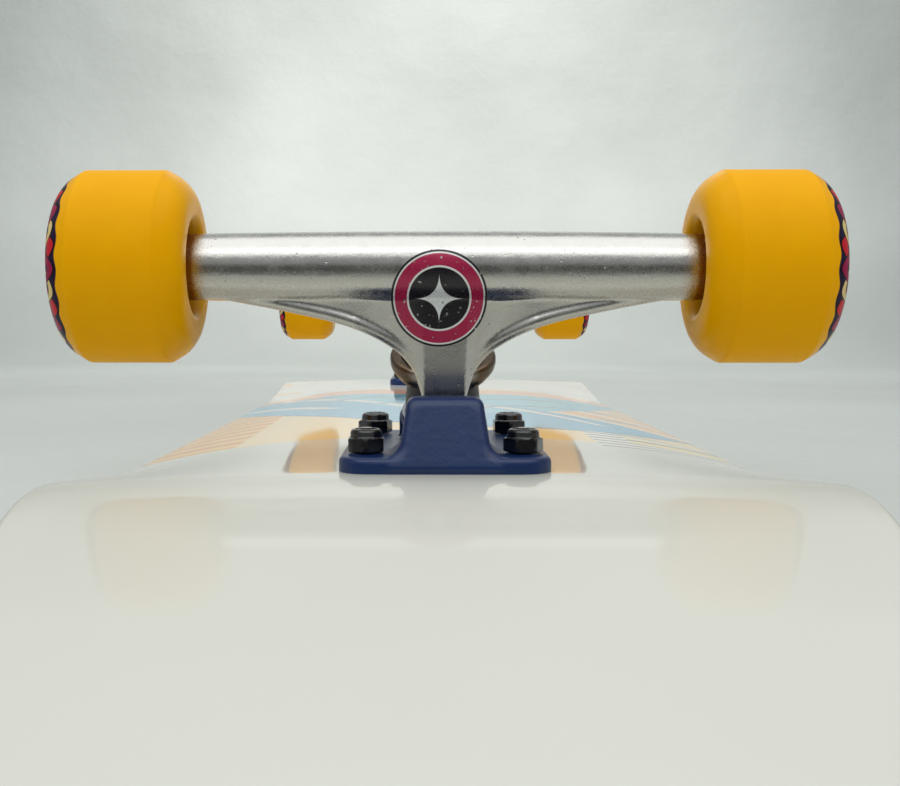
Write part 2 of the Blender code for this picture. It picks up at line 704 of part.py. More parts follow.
def build_truck(end, direction, meshes, root):
    """One whole truck. Its own -Y points to the board's tip at that end."""
    world = Matrix.Translation((0, direction * bolt_centre_y(), deck_height()))
    if direction > 0:
        world = world @ Matrix.Rotation(math.pi, 4, "Z")
    stack = world @ tilt_frame()
    truck = empty(f"{end}_truck_mount", root, world)
    steer = empty(f"{end}_steering_pivot", truck, stack)

    for piece in ("baseplate", "pivot_cup"):
        place(f"{end}_{piece}", meshes[piece], truck, world)
    for piece in ("kingpin", "lower_washer", "lower_bushing", "upper_bushing", "upper_washer",
                  "kingpin_nut"):
        place(f"{end}_{piece}", meshes[piece], truck, stack)
    for number, (x, y) in enumerate(bolt_places(), start=1):
        spot = world @ Matrix.Translation((x, y, 0))
        place(f"{end}_mounting_bolt_{number}", meshes["mounting_bolt"], truck, spot)
        place(f"{end}_mounting_nut_{number}", meshes["mounting_nut"], truck, spot)

    place(f"{end}_hanger", meshes["hanger"], steer, world)
    axle = world @ Matrix.Translation((0, -AXLE_OUT, AXLE_HEIGHT))
    place(f"{end}_axle", meshes["axle"], steer, axle)
    inner_washer = BARREL_HALF + GAP
    wheel_centre = inner_washer + SPEED_WASHER[1] + GAP + BEARING_WIDTH + SPACER_WIDTH / 2
    outer_washer = wheel_centre + SPACER_WIDTH / 2 + BEARING_WIDTH + GAP
    nut_face = outer_washer + SPEED_WASHER[1] + GAP
    for side, turn in (("left", math.pi), ("right", 0.0)):
        if direction > 0:
            side = {"left": "right", "right": "left"}[side]
        half = axle @ Matrix.Rotation(turn, 4, "Z")
        for label, mesh, out in (("inner_speed_washer", "speed_washer", inner_washer),
                                 ("wheel", "wheel", wheel_centre),
                                 ("wheel_bearings", "bearings", wheel_centre),
                                 ("outer_speed_washer", "speed_washer", outer_washer),
                                 ("axle_nut", "axle_nut", nut_face)):
            place(f"{end}_{side}_{label}", meshes[mesh], steer, half @ Matrix.Translation((out, 0, 0)))


def main():
    for obj in list(bpy.data.objects):
        bpy.data.objects.remove(obj)
    root = empty("board", None, Matrix.Identity(4))
    lift = Matrix.Translation((0, 0, deck_height()))
    place("deck", deck_mesh(), root, lift)
    place("grip_sheet", grip_mesh(), root, lift)
    meshes = truck_meshes()
    build_truck("front", -1, meshes, root)
    build_truck("rear", 1, meshes, root)


main()
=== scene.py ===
"""Skateboard, wheels up on a pale floor: the looks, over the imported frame.

Every piece is modelled again in full detail, at the size and place of the CAD part that it
stands for. Each truck is drawn once, in its own frame: origin at the middle of its four bolts on
the deck's underside, -Y outward to the board's nearer tip, +Z away from the deck.
"""

import json
import math

import bmesh
import bpy
from mathutils import Matrix, Vector

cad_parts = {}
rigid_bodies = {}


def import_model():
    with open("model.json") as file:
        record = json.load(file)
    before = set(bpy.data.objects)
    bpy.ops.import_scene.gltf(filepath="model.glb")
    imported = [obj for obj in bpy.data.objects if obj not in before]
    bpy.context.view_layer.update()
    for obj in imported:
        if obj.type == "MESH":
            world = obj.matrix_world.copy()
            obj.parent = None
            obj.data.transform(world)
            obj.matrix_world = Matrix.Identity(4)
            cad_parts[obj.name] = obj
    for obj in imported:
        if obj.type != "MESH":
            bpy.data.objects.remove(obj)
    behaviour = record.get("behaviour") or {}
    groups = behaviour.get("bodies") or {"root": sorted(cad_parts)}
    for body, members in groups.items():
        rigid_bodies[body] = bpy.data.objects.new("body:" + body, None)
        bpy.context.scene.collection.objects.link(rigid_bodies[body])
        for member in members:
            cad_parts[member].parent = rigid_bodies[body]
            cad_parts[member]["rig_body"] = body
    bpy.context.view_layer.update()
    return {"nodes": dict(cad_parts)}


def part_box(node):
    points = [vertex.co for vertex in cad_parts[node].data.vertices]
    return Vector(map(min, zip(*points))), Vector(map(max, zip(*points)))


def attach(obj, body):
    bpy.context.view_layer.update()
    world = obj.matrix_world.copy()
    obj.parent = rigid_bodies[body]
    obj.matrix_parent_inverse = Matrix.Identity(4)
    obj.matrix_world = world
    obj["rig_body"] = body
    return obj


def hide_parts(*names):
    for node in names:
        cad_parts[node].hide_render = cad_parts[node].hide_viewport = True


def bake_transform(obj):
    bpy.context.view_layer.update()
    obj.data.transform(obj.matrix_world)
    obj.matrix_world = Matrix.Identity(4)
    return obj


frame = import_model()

DECK_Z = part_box("front_baseplate")[0].z     # height of the deck's underside
GAP = 0.0003                    # between pieces that touch
CUTTER_WIDE = 0.09              # the radius of a cutter wider than the piece it trims
CUTTER_LOW = -0.05              # and its lower end

# ---- deck and grip sheet ----
DECK_HALF_LENGTH = 0.407
DECK_HALF_WIDTH = 0.1033
DECK_THICKNESS = 0.011
FLAT_HALF_WIDTH = 0.0285
CONCAVE_MIDDLE = 0.0108         # how far the deck's edges turn away at its middle
CONCAVE_END = 0.001             # and beyond the trucks
CONCAVE_FADE = (0.146, 0.2835)  # distances from the middle between which one fades to the other
CONCAVE_POWER = 1.8
KICK_START = 0.245              # where the board starts to bend towards the rider
KICK_RADIUS = 0.100
KICK_ANGLE = math.radians(20)
TAPER_START = 0.255             # where its outline starts to narrow
TAPER_REACH = DECK_HALF_LENGTH - TAPER_START
TAPER_POWER = 2.5
TIP_START = 0.385               # from here the rows of the sheet close in on the tip
ROW_STEPS = (44, 30, 12)        # rows along the straight, the taper and the tip
EDGE_ROUND = 0.0026
EDGE_SHARE = 0.3                # the share of the thickness that each round of the edge takes
GRIP_THICKNESS = 0.001
GRIP_INSET = 0.003
GRIP_HOLE = 0.0050
COUNTERSINK_SPREAD = 0.00045

# ---- bolts and their pattern ----
WHEELBASE = 0.362
BOLT_PITCH = (0.04128, 0.05398)
BOLT_RADIUS = 0.00238
BOLT_HOLE = 0.00275
BOLT_HEAD = (0.0045, 0.0004, 0.003)     # radius, rim, depth
BOLT_SOCKET = (0.0017, 0.0014)          # radius, depth
BOLT_TOP = 0.0107
BOLT_THREAD = 0.0008

# ---- baseplate ----
FLANGE_HALF = (0.0275, 0.040)   # across and along the board
FLANGE_HEIGHT = 0.004
FLANGE_CORNER = 0.008
TOWER_HEIGHT = 0.019
TOWER_HALF_TOP = 0.0101
TOWER_HALF_FOOT = 0.0112
TOWER_CORNER = 0.0026
TOWER_FILLET = 0.0050
TOWER_FRONT = 0.0395
TOWER_FRONT_SLOPE = 0.35
# (inset, how far back) of the outlines that round the tower's front
TOWER_FRONT_ROUND = ((0, 0.0020), (0.0002, 0.0011), (0.0008, 0.0003), (0.0018, 0.0))
RIB_X = 0.0095                  # a rib's place from the middle line
RIB_HALF = 0.0015
BOSS_RADIUS = 0.0130

# ---- steering geometry and kingpin stack ----
PIVOT_ANGLE = math.radians(25)
RING_CENTRE = Vector((0, 0.010, 0.02605))
PIVOT_MOUTH = 0.0342
CUP_DEPTH = 0.0110
CUP_BORE = 0.0056
CUP_FLOOR = 0.0026
PEG_RADIUS = (0.0043, 0.0035)   # at the cup's mouth and at its tip
PEG_END = 0.0418
KINGPIN_RADIUS = 0.00475
KINGPIN_HOLE = 0.00505
KINGPIN_HEAD_RADIUS = 0.0075
KINGPIN_HEAD = (-0.0248, -0.0213) # its lower and upper end
KINGPIN_END = 0.0245
KINGPIN_THREAD = 0.00106
BOSS_TOP = -0.0171
RING_RADIUS = 0.0155
RING_RIM = (0.0004, 0.004)      # heights of its outer rim
RING_FOOT = (0.0131, -0.0030)   # radius and height of its underside's lip
RING_PLATE_HALF = 0.0022
RING_SEAT = 0.0121
RING_HOLE = 0.0068
LOWER_BUSHING = (-0.0150, -0.0025)
UPPER_BUSHING = (0.0025, 0.0132)
LOWER_BUSHING_RADII = (0.0112, 0.0101)  # at its lower end and its upper end
UPPER_BUSHING_RADII = (0.0114, 0.0096)
WASHER_RADIUS = 0.0122
WASHER_THICKNESS = 0.0015

# ---- hanger and axle ----
AXLE_OUT = 0.020
AXLE_HEIGHT = 0.053
AXLE_RADIUS = 0.004
AXLE_HOLE = 0.0043
AXLE_HALF = 0.1042
AXLE_THREAD = (0.0930, 0.0010)  # where the thread starts, and its pitch
BARREL_HALF = 0.070
BARREL_END = 0.0694
BARREL_RADIUS = (0.0095, 0.0088) # at the middle and at the ends
# (distance from the middle, height) along the hanger's lower edge
WEB_EDGE = ((0.0063, 0.0190), (0.0085, 0.0252), (0.0140, 0.0312), (0.0250, 0.0368),
            (0.0410, 0.0408), (0.0610, 0.0446))
WEB_ROOT = (0.0203, 0.0500, 0.0052)     # the panel's upper round: outward place, height, radius
WEB_TIP_OUT = (0.0145, 0.0215)          # outward place of that edge, at the neck and beyond it
WEB_TIP_RADIUS = (0.0056, 0.0020)       # its radius at the neck and beyond it
WEB_TIP_MOVES = (0.004, 0.022)          # where its middle starts to move outward, and over what length
WEB_TIP_THINS = 0.0045                  # how fast its radius falls away from the neck
WEB_BEAD_GROWS = 0.008                  # where the bead starts to stand off, and over what length
WEB_BEAD_PROUD = 0.0010                 # the rounded lower edge stands this far off the panel
NECK_RADIUS = 0.0060
# (outward place, height) corners of the gusset from the ring up to the barrel
GUSSET = ((0.0052, 0.0238), (0.0162, 0.0470), (0.0190, 0.0480), (0.0150, 0.0205), (0.0060, 0.0188))
GUSSET_HALF = 0.0024

# ---- wheels and bearings ----
WHEEL_RADIUS = 0.0255
WHEEL_HALF = 0.0174
TREAD_HALF = 0.0105
BEARING_RADIUS = 0.011
BEARING_WIDTH = 0.007
SPACER_WIDTH = 0.010
SPACER_RADIUS = 0.0055
SPEED_WASHER = (0.0062, 0.0010) # radius, thickness

# ---- nuts: half the width across flats, total height, collar radius and height, bore ----
MOUNT_NUT = (0.0046, 0.0061, 0.0042, 0.0021, 0.0028)
AXLE_NUT = (0.00635, 0.0057, 0.0058, 0.0018, 0.0044)
KINGPIN_NUT = (0.00714, 0.0072, 0.0067, 0.0022, 0.0051)

# ---- printed marks, and painted shade and reflection on the hanger ----
PRINT_SOFT = 0.0006             # half the width of a soft edge in the print
FIELD_SOFT = 0.0008             # the same at the ends of a field
PLIES = 7                       # layers of maple seen in the deck's edge
PRINT_WRAP = 0.30               # how far down the deck's edge the print reaches, by its depth
BADGE_PLACE = (-0.0015, 0.0445)  # its middle, across and up, in the truck's frame
# radii of its dark edge, pale line, crimson ring, pale line and dark disc
BADGE_RINGS = (0.0127, 0.0121, 0.0117, 0.0085, 0.0080)
STAR_REACH = 0.0066             # from the badge's middle to a tip of its star
STAR_SOFT = 0.002               # how soft the star's edge is
PRINT_BAND = (0.0140, 0.0247)   # the printed ring on a wheel's outer side, from and to this radius
PANEL_TOP = (0.0405, 0.0435)    # the web is rougher below this height in the truck's frame
BARREL_END_PAINTED_SHADE = (0.0652, 0.0664)  # where the barrel's ends get painted shade and a painted brown reflection of the wheels, from the middle line
RING_PAINTED_REFLECTION = (0.2090, 0.2125)  # and where the ring gets a painted dark brown reflection, from the middle of the board
BOLT_TURNS = (30, 6, 12, 34)    # how far each bolt was left turned, in degrees

# ---- camera, room and lights ----
CAMERA_PLACE = (-0.0047, -0.535, 0.101)
CAMERA_AIM = (-3.475, -0.6)     # pitch and yaw, in degrees
CAMERA_SHIFT = 0.039
CAMERA_LENS = 45.8
WORLD_LEVEL = 0.34
WORLD_BACK_GAIN = 0.02
WORLD_TOP_GAIN = 0.22
WORLD_LOWEST = 0.06
WORLD_TINT = (0.96, 0.99, 1.0, 1)
# a light is its name, place, target, size, power and whether it shows in reflections
LIGHTS = (("overhead_softbox", (0.0, -0.45, 1.35), (0, -0.45, 0.08), (2.4, 1.5), 13.0, True),
          ("front_softbox", (0.0, -1.45, 1.45), (0, -0.25, 0.08), (2.2, 0.7), 7.0, True),
          ("backdrop_wash", (0.0, 1.60, 2.60), (0, 3.2, 0.9), (1.6, 0.6), 50.0, False))
# a card is its name, the ends (y, z) of its edge, half its width and its shade of grey
CARDS = (("card_behind_camera", (-0.62, 0.002), (-0.62, 0.15), 0.8, 104),
         ("card_on_floor", (-0.43, 0.002), (-1.60, 0.002), 1.2, 104))
CLOTH_PAINTED_SHADE = ((0.25, 1.75), (0.75, 1.45), (0.10, 0.45))  # painted shade: the cloth is darker to the sides, up and low down


# ---------------------------------------------------------------- mesh tools

def new_object(name, data):
    """A new object, already in the scene."""
    obj = bpy.data.objects.new(name, data)
    bpy.context.scene.collection.objects.link(obj)
    return obj


def mesh_from(points, faces):
    mesh = bpy.data.meshes.new("shape")
    mesh.from_pydata([tuple(p) for p in points], [], faces)
    return tidied(mesh)


def tidied(mesh, merge=1e-6):
    """Weld a mesh's doubled points and turn its faces outward."""
    bm = bmesh.new()
    bm.from_mesh(mesh)
    bmesh.ops.remove_doubles(bm, verts=bm.verts, dist=merge)
    bmesh.ops.recalc_face_normals(bm, faces=bm.faces)
    bm.to_mesh(mesh)
    bm.free()
    return mesh


def turned(profile, segments=48, closed=False):
    """Turn (radius, height) points about Z. A closed profile's last point joins its first."""
    points = []
    rings = []
    for radius, height in profile:
        count = 1 if radius < 1e-7 else segments
        first = len(points)
        points += [(radius * math.cos(math.tau * i / count), radius * math.sin(math.tau * i / count),
                    height) for i in range(count)]
        rings.append([first + i % count for i in range(segments)])
    pairs = list(zip(rings, rings[1:]))
    if closed:
        pairs.append((rings[-1], rings[0]))
    return mesh_from(points, strip_faces(pairs))


def skinned(sections, loop=False):
    """Skin a row of equal-length sections. A loop's last section joins its first."""
    count = len(sections[0])
    points = [point for section in sections for point in section]
    rings = [list(range(i * count, (i + 1) * count)) for i in range(len(sections))]
    pairs = list(zip(rings, rings[1:]))
    faces = []
    if loop:
        pairs.append((rings[-1], rings[0]))
    else:
        faces = [rings[0], rings[-1]]
    return mesh_from(points, strip_faces(pairs) + faces)


def strip_faces(pairs):
    """The faces between neighbouring rings of points."""
    faces = []
    for ring, following in pairs:
        for i in range(len(ring)):
            k = (i + 1) % len(ring)
            corners = list(dict.fromkeys((ring[i], ring[k], following[k], following[i])))
            if len(corners) > 2:
                faces.append(corners)
    return faces


def rounded(profile, steps=4, closed=False):
    """A profile of (radius, height, fillet) points, with each corner rounded by its fillet."""
    count = len(profile)
    points = []
    for i, (x, y, *fillet) in enumerate(profile):
        inside = closed or 0 < i < count - 1
        if not (inside and fillet and fillet[0] > 0):
            points.append((x, y))
            continue
        corner = Vector((x, y))
        before = Vector(profile[i - 1][:2]) - corner
        after = Vector(profile[(i + 1) % count][:2]) - corner
        start = corner + before.normalized() * min(fillet[0], before.length * 0.48)
        end = corner + after.normalized() * min(fillet[0], after.length * 0.48)
        for k in range(steps + 1):
            t = k / steps
            points.append(tuple(start * (1 - t) ** 2 + corner * (2 * t * (1 - t)) + end * t * t))
    return points


def tube(profile, steps=4, segments=64):
    """A ring turned about Z from a closed profile, its corners rounded."""
    return turned(rounded(profile, steps, closed=True), segments, closed=True)


def rod(radius, low, high, segments=48, place=(0, 0)):
    mesh = turned([(0, low), (radius, low), (radius, high), (0, high)], segments)
    return moved(mesh, Matrix.Translation((place[0], place[1], 0)))


def ring_at(height, reach, segments=48):
    """A ring of points about Z at a height, its reach a function of the angle."""
    angles = [math.tau * i / segments for i in range(segments)]
    return [(reach(a) * math.cos(a), reach(a) * math.sin(a), height) for a in angles]


def hexagon(flat):
    """A hexagon's reach as a function of the angle. Half its width across flats is flat."""
    def reach(angle):
        off = (angle + math.pi / 6) % (math.pi / 3) - math.pi / 6
        return flat / math.cos(math.pi / 6 - abs(off))
    return reach


def moved(mesh, matrix):
    mesh.transform(matrix)
    return mesh


def joined(meshes):
    """Several meshes in one, none of them cut."""
    bm = bmesh.new()
    for mesh in meshes:
        bm.from_mesh(mesh)
    result = bpy.data.meshes.new("joined")
    bm.to_mesh(result)
    bm.free()
    return result


def evaluated(mesh, prepare):
    """The mesh after the modifiers that prepare(obj) puts on it."""
    holder = new_object("holder", mesh)
    helpers = prepare(holder) or []
    bpy.context.view_layer.update()
    graph = bpy.context.evaluated_depsgraph_get()
    result = bpy.data.meshes.new_from_object(holder.evaluated_get(graph))
    for obj in [holder, *helpers]:
        bpy.data.objects.remove(obj)
    return result


def fused(meshes, voxel, rounds):
    """One skin round several overlapping meshes, its inner corners softened."""
    def prepare(holder):
        remesh = holder.modifiers.new("fuse", "REMESH")
        remesh.mode = "VOXEL"
        remesh.voxel_size = voxel
        smooth = holder.modifiers.new("soften", "SMOOTH")
        smooth.factor = 0.5
        smooth.iterations = rounds
    return evaluated(joined(meshes), prepare)


def cut(mesh, cutters):
    """The mesh less each of the cutters."""
    def prepare(holder):
        helpers = []
        for cutter in cutters:
            helper = new_object("cutter", cutter)
            step = holder.modifiers.new("cut", "BOOLEAN")
            step.operation = "DIFFERENCE"
            step.solver = "EXACT"
            step.object = helper
            helpers.append(helper)
        return helpers
    return evaluated(mesh, prepare)


def arc(centre, radius, start, end, steps):
    """Points on an arc, from one angle in degrees to another."""
    angles = [math.radians(start + (end - start) * i / steps) for i in range(steps + 1)]
    return [(centre[0] + radius * math.cos(a), centre[1] + radius * math.sin(a)) for a in angles]


def thread(radius, low, high, pitch):
    """Profile points of a thread's crests and roots between two heights."""
    root = radius - pitch * 0.45
    turns = max(1, round((high - low) / pitch))
    step = (high - low) / turns
    points = []
    for i in range(turns):
        base = low + i * step
        points += [(radius, base), (radius, base + step * 0.15), (root, base + step * 0.5),
                   (root, base + step * 0.62)]
    return points + [(radius, high)]


def smoothstep(value):
    value = min(1.0, max(0.0, value))
    return value * value * (3 - 2 * value)


def mix(pair, share):
    return pair[0] + (pair[1] - pair[0]) * share


# ---------------------------------------------------------------- node tools

class Nodes:
    """A node tree built a step at a time. Where a colour or a number goes, a socket may go too."""

    def __init__(self, tree):
        self.tree = tree

    def node(self, kind, values=None, **settings):
        node = self.tree.nodes.new(kind)
        for label, value in settings.items():
            setattr(node, label, value)
        for label, value in (values or {}).items():
            self.feed(node.inputs[label], value)
        return node

    def feed(self, socket, value):
        if isinstance(value, bpy.types.NodeSocket):
            self.tree.links.new(value, socket)
        else:
            socket.default_value = value

    def math(self, operation, first, second=0.0, third=0.0):
        return self.node("ShaderNodeMath", {0: first, 1: second, 2: third},
                         operation=operation).outputs[0]

    def split(self, vector):
        return tuple(self.node("ShaderNodeSeparateXYZ", {0: vector}).outputs)

    def span(self, value, start, end, low=0.0, high=1.0, smooth=True):
        """Carry value from the span start-end to the span low-high."""
        return self.node("ShaderNodeMapRange", {0: value, 1: start, 2: end, 3: low, 4: high},
                         interpolation_type="SMOOTHSTEP" if smooth else "LINEAR").outputs[0]

    def blend(self, share, first, second):
        """Mix two colours."""
        node = self.node("ShaderNodeMix", {0: share}, data_type="RGBA")
        self.feed(node.inputs[6], first)
        self.feed(node.inputs[7], second)
        return node.outputs[2]

    def both(self, first, second):
        return self.math("MULTIPLY", first, second)

    def plus(self, first, second):
        return self.math("ADD", first, second)

    def minus(self, first, second):
        return self.math("SUBTRACT", first, second)

    def size(self, value):
        return self.math("ABSOLUTE", value)

    def inverse(self, value):
        return self.minus(1.0, value)

    def under(self, value, start, end):
        """1 where value is below start, 0 where it is above end."""
        return self.inverse(self.span(value, start, end))

    def within(self, value, low, high, soft):
        """1 where value lies from low to high, with soft ends."""
        return self.both(self.span(value, low - soft, low + soft),
                         self.under(value, high - soft, high + soft))

    def distance(self, first, second):
        """How far a point lies from an axis, from its two places square to it."""
        return self.math("SQRT", self.plus(self.both(first, first), self.both(second, second)))


class Finish(Nodes):
    """A material round one Principled shader."""

    def __init__(self, name, **constants):
        self.material = bpy.data.materials.new(name)
        self.material.use_nodes = True
        super().__init__(self.material.node_tree)
        self.shader = self.tree.nodes["Principled BSDF"]
        for label, value in constants.items():
            self.shader.inputs[label.replace("_", " ")].default_value = value
        self.place = self.node("ShaderNodeTexCoord").outputs["Object"]

    def shade(self, label, value):
        self.feed(self.shader.inputs[label], value)

    def paint(self, colour):
        self.shade("Base Color", colour)

    def axes(self):
        return self.split(self.place)

    def noise(self, scale, detail=3.0, roughness=0.5, vector=None):
        return self.node("ShaderNodeTexNoise", {"Vector": vector or self.place, "Scale": scale,
                                                "Detail": detail, "Roughness": roughness}).outputs[0]

    def cells(self, scale):
        return self.node("ShaderNodeTexVoronoi",
                         {"Vector": self.place, "Scale": scale}).outputs["Distance"]

    def stretched(self, *scale):
        """The place of a point with its axes scaled, for a grain that runs one way."""
        return self.node("ShaderNodeMapping", {"Vector": self.place, "Scale": scale}).outputs[0]

    def bump(self, height, distance):
        previous = self.shader.inputs["Normal"]
        values = {"Height": height, "Distance": distance}
        if previous.is_linked:
            values["Normal"] = previous.links[0].from_socket
        node = self.node("ShaderNodeBump", values)
        self.shade("Normal", node.outputs[0])


def rgb(red, green, blue):
    """A colour from its familiar 0-255 screen values."""
    def linear(value):
        value /= 255
        return value / 12.92 if value <= 0.04045 else ((value + 0.055) / 1.055) ** 2.4
    return (linear(red), linear(green), linear(blue), 1)


def shaded(colour, share):
    """A colour made darker or paler."""
    return tuple(min(1.0, part * share) for part in colour[:3]) + (1,)


# ---- the deck's print. A curve is (level, tilt, bend) for y = level + tilt x + bend x^2 ----
TIDE = (-0.106, -0.62, 8.8)
SHORE = (0.0216, -1.02, 0.0)
DUNE = (-0.040, -0.81, 22.0)
HORIZON = (0.078, -0.10, 4.0)
DECK_SWEEPS = (
    ((-0.158, 0.0, 0.0), (0.160, 0.0, 0.0), rgb(240, 206, 146)),
    (TIDE, HORIZON, rgb(48, 152, 192)),
    (SHORE, DUNE, rgb(240, 172, 104)),
    (DUNE, HORIZON, rgb(96, 176, 200)),
    (HORIZON, (0.112, -0.10, 4.0), rgb(236, 168, 132)),
    ((0.128, 0.0, 2.0), (0.45, 0.0, 0.0), rgb(232, 230, 222)),
    ((-0.1085, -0.62, 8.8), (-0.1045, -0.62, 8.8), rgb(96, 104, 122)),
    ((0.0200, -1.02, 0.0), (0.0232, -1.02, 0.0), rgb(104, 120, 132)),
)
# streaks: between two curves; their slant, count to the metre and width; then their paint
DECK_STREAKS = (
    ((-0.045, -0.60, 2.0), (0.020, -1.02, 0.0), (1.6, 17, 0.16), rgb(236, 214, 196)),
    ((-0.010, -0.60, 2.0), HORIZON, (-0.5, 21, 0.14), rgb(72, 132, 164)),
    (SHORE, DUNE, (0.9, 24, 0.30), rgb(240, 212, 176)),
)
# a field is its span in x, its span in y, its ground, its stripes and their paint
DECK_FIELDS = (
    (-0.120, -0.069, -0.154, 0.100, rgb(244, 184, 70), (0.12, 52, 0.46), rgb(224, 138, 0)),
    (0.052, 0.120, -0.168, -0.112, rgb(228, 222, 208), (-0.20, 105, 0.42), rgb(140, 134, 134)),
    (0.066, 0.120, -0.142, -0.120, rgb(240, 214, 140), (-0.20, 52, 0.30), rgb(150, 140, 132)),
)


# ---------------------------------------------------------------- deck and grip sheet

def kick(distance):
    """Drop of the deck's underside at a distance from the middle, and its slope."""
    bend = KICK_RADIUS * math.sin(KICK_ANGLE)
    along = distance - KICK_START
    if along <= 0:
        return 0.0, 0.0
    if along < bend:
        slope = math.asin(along / KICK_RADIUS)
        return KICK_RADIUS * (1 - math.cos(slope)), slope
    drop = KICK_RADIUS * (1 - math.cos(KICK_ANGLE)) + (along - bend) * math.tan(KICK_ANGLE)
    return drop, KICK_ANGLE


def concave(x, distance):
    """How far the underside turns away at x from the middle line."""
    start, end = CONCAVE_FADE
    depth = mix((CONCAVE_MIDDLE, CONCAVE_END), smoothstep((distance - start) / (end - start)))
    reach = max(0.0, abs(x) - FLAT_HALF_WIDTH) / (DECK_HALF_WIDTH - FLAT_HALF_WIDTH)
    return depth * reach ** CONCAVE_POWER


def board_point(x, y, depth):
    """A point at a depth under the deck's underside, measured square to the kick."""
    drop, slope = kick(abs(y))
    outward = math.copysign(math.sin(slope), y)
    surface = Vector((x, y, -drop - concave(x, abs(y))))
    return surface - depth * Vector((0, outward, math.cos(slope)))


def board_rows():
    """Stations from one tip to the other: distance before the taper, then the taper's turn."""
    straight, taper, tip = ROW_STEPS
    power = TAPER_POWER / 2
    length = TIP_START - TAPER_START
    level = [(TAPER_START * i / straight, 0.0) for i in range(straight + 1)]
    turns = [math.asin((i / taper * length / TAPER_REACH) ** power) for i in range(1, taper + 1)]
    turn_at = math.asin(length ** power / TAPER_REACH ** power)
    turns += [turn_at + (math.pi / 2 - turn_at) * i / tip for i in range(1, tip + 1)]
    half = level + [(TAPER_START, turn) for turn in turns]
    return [(-1, *row) for row in reversed(half[1:])] + [(1, *row) for row in half]


def rim_point(row, inset):
    """Half width and place along the board of a row's outline, moved in by the inset."""
    sign, distance, turn = row
    if turn == 0.0:
        return DECK_HALF_WIDTH - inset, sign * distance
    power = 2 / TAPER_POWER
    width = (DECK_HALF_WIDTH - inset) * max(0.0, math.cos(turn)) ** power
    if turn > math.pi / 2 - 1e-6:
        width = 0.0
    return width, sign * (TAPER_START + (TAPER_REACH - inset) * math.sin(turn) ** power)


def board_sheet(edge, columns=20):
    """A closed sheet that follows the board. Its edge is a list of (inset, depth) points."""
    sections = []
    for row in board_rows():
        points = []
        inner = [(edge[0], 1), (edge[-1], -1)]
        for (inset, depth), way in inner:
            width, y = rim_point(row, inset)
            across = [way * width * i / columns for i in range(-columns + 1, columns)]
            points.append([board_point(x, y, depth) for x in across])
        right = [board_point(*rim_point(row, inset), depth) for inset, depth in edge]
        left = [Vector((-p.x, p.y, p.z)) for p in reversed(right)]
        sections.append(points[0] + right + points[1] + left)
    return skinned(sections)


def deck_mesh():
    """The laminated board, its edge rounded. Each point keeps its depth for the plies."""
    upper = EDGE_SHARE * DECK_THICKNESS
    steps = 6
    edge = []
    for i in range(steps + 1):
        turn = math.pi / 2 * i / steps
        edge.append((EDGE_ROUND * (1 - math.sin(turn)), upper * (1 - math.cos(turn))))
    edge += [(inset, DECK_THICKNESS - depth) for inset, depth in reversed(edge)]
    deck = cut(board_sheet(edge), [bolt_hole_cutters()])
    layer = deck.attributes.new("depth", "FLOAT", "POINT")
    layer.data.foreach_set("value", [depth_in_deck(v.co) / DECK_THICKNESS for v in deck.vertices])
    return deck


def depth_in_deck(point):
    """Depth of a point under the deck's underside."""
    y = point.y
    for _ in range(3):
        drop, slope = kick(abs(y))
        depth = (-drop - concave(point.x, abs(y)) - point.z) / math.cos(slope)
        y = point.y + depth * math.copysign(math.sin(slope), point.y)
    return depth


def grip_mesh():
    """The sheet under the deck, with a hole over each bolt head."""
    top = DECK_THICKNESS + GAP
    edge = [(GRIP_INSET, top), (GRIP_INSET, top + GRIP_THICKNESS)]
    holes = [rod(GRIP_HOLE, -0.02, 0.0, 32, spot) for spot in deck_bolt_places()]
    return cut(board_sheet(edge), [joined(holes)])


def bolt_centre_y():
    """How far the middle of a truck's bolts lies from the middle of the board."""
    return (WHEELBASE + BOLT_PITCH[1]) / 2


def bolt_places():
    """The four bolts' places in a truck's frame."""
    return [(sx * BOLT_PITCH[0] / 2, sy * BOLT_PITCH[1] / 2) for sy in (-1, 1) for sx in (-1, 1)]


def deck_bolt_places():
    centre = bolt_centre_y()
    return [(x, end * centre + y) for end in (-1, 1) for x, y in bolt_places()]


def head_levels():
    """Heights of a bolt head's face, its rim and its foot, from the deck's underside."""
    face = -(DECK_THICKNESS + GRIP_THICKNESS)
    return face, face + BOLT_HEAD[1], face + BOLT_HEAD[2]


def bolt_hole_cutters():
    """The deck's countersunk holes."""
    face, rim, foot = head_levels()
    wide = BOLT_HEAD[0] + COUNTERSINK_SPREAD
    profile = [(0, face - 0.01), (wide, face - 0.01), (wide, rim), (BOLT_HOLE, foot + GAP),
               (BOLT_HOLE, 0.01), (0, 0.01)]
    return joined([moved(turned(profile, 32), Matrix.Translation((x, y, 0)))
                   for x, y in deck_bolt_places()])


# ---------------------------------------------------------------- baseplate and pivot cup

def tilt_frame():
    """The ring's frame: Y up the pivot axis toward the board's middle, Z up the kingpin."""
    return Matrix.Translation(RING_CENTRE) @ Matrix.Rotation(PIVOT_ANGLE, 4, "X")


def along_pivot():
    """Lays a turned piece on the pivot axis, its heights running outward from the ring."""
    return tilt_frame() @ Matrix.Rotation(math.pi / 2, 4, "X")


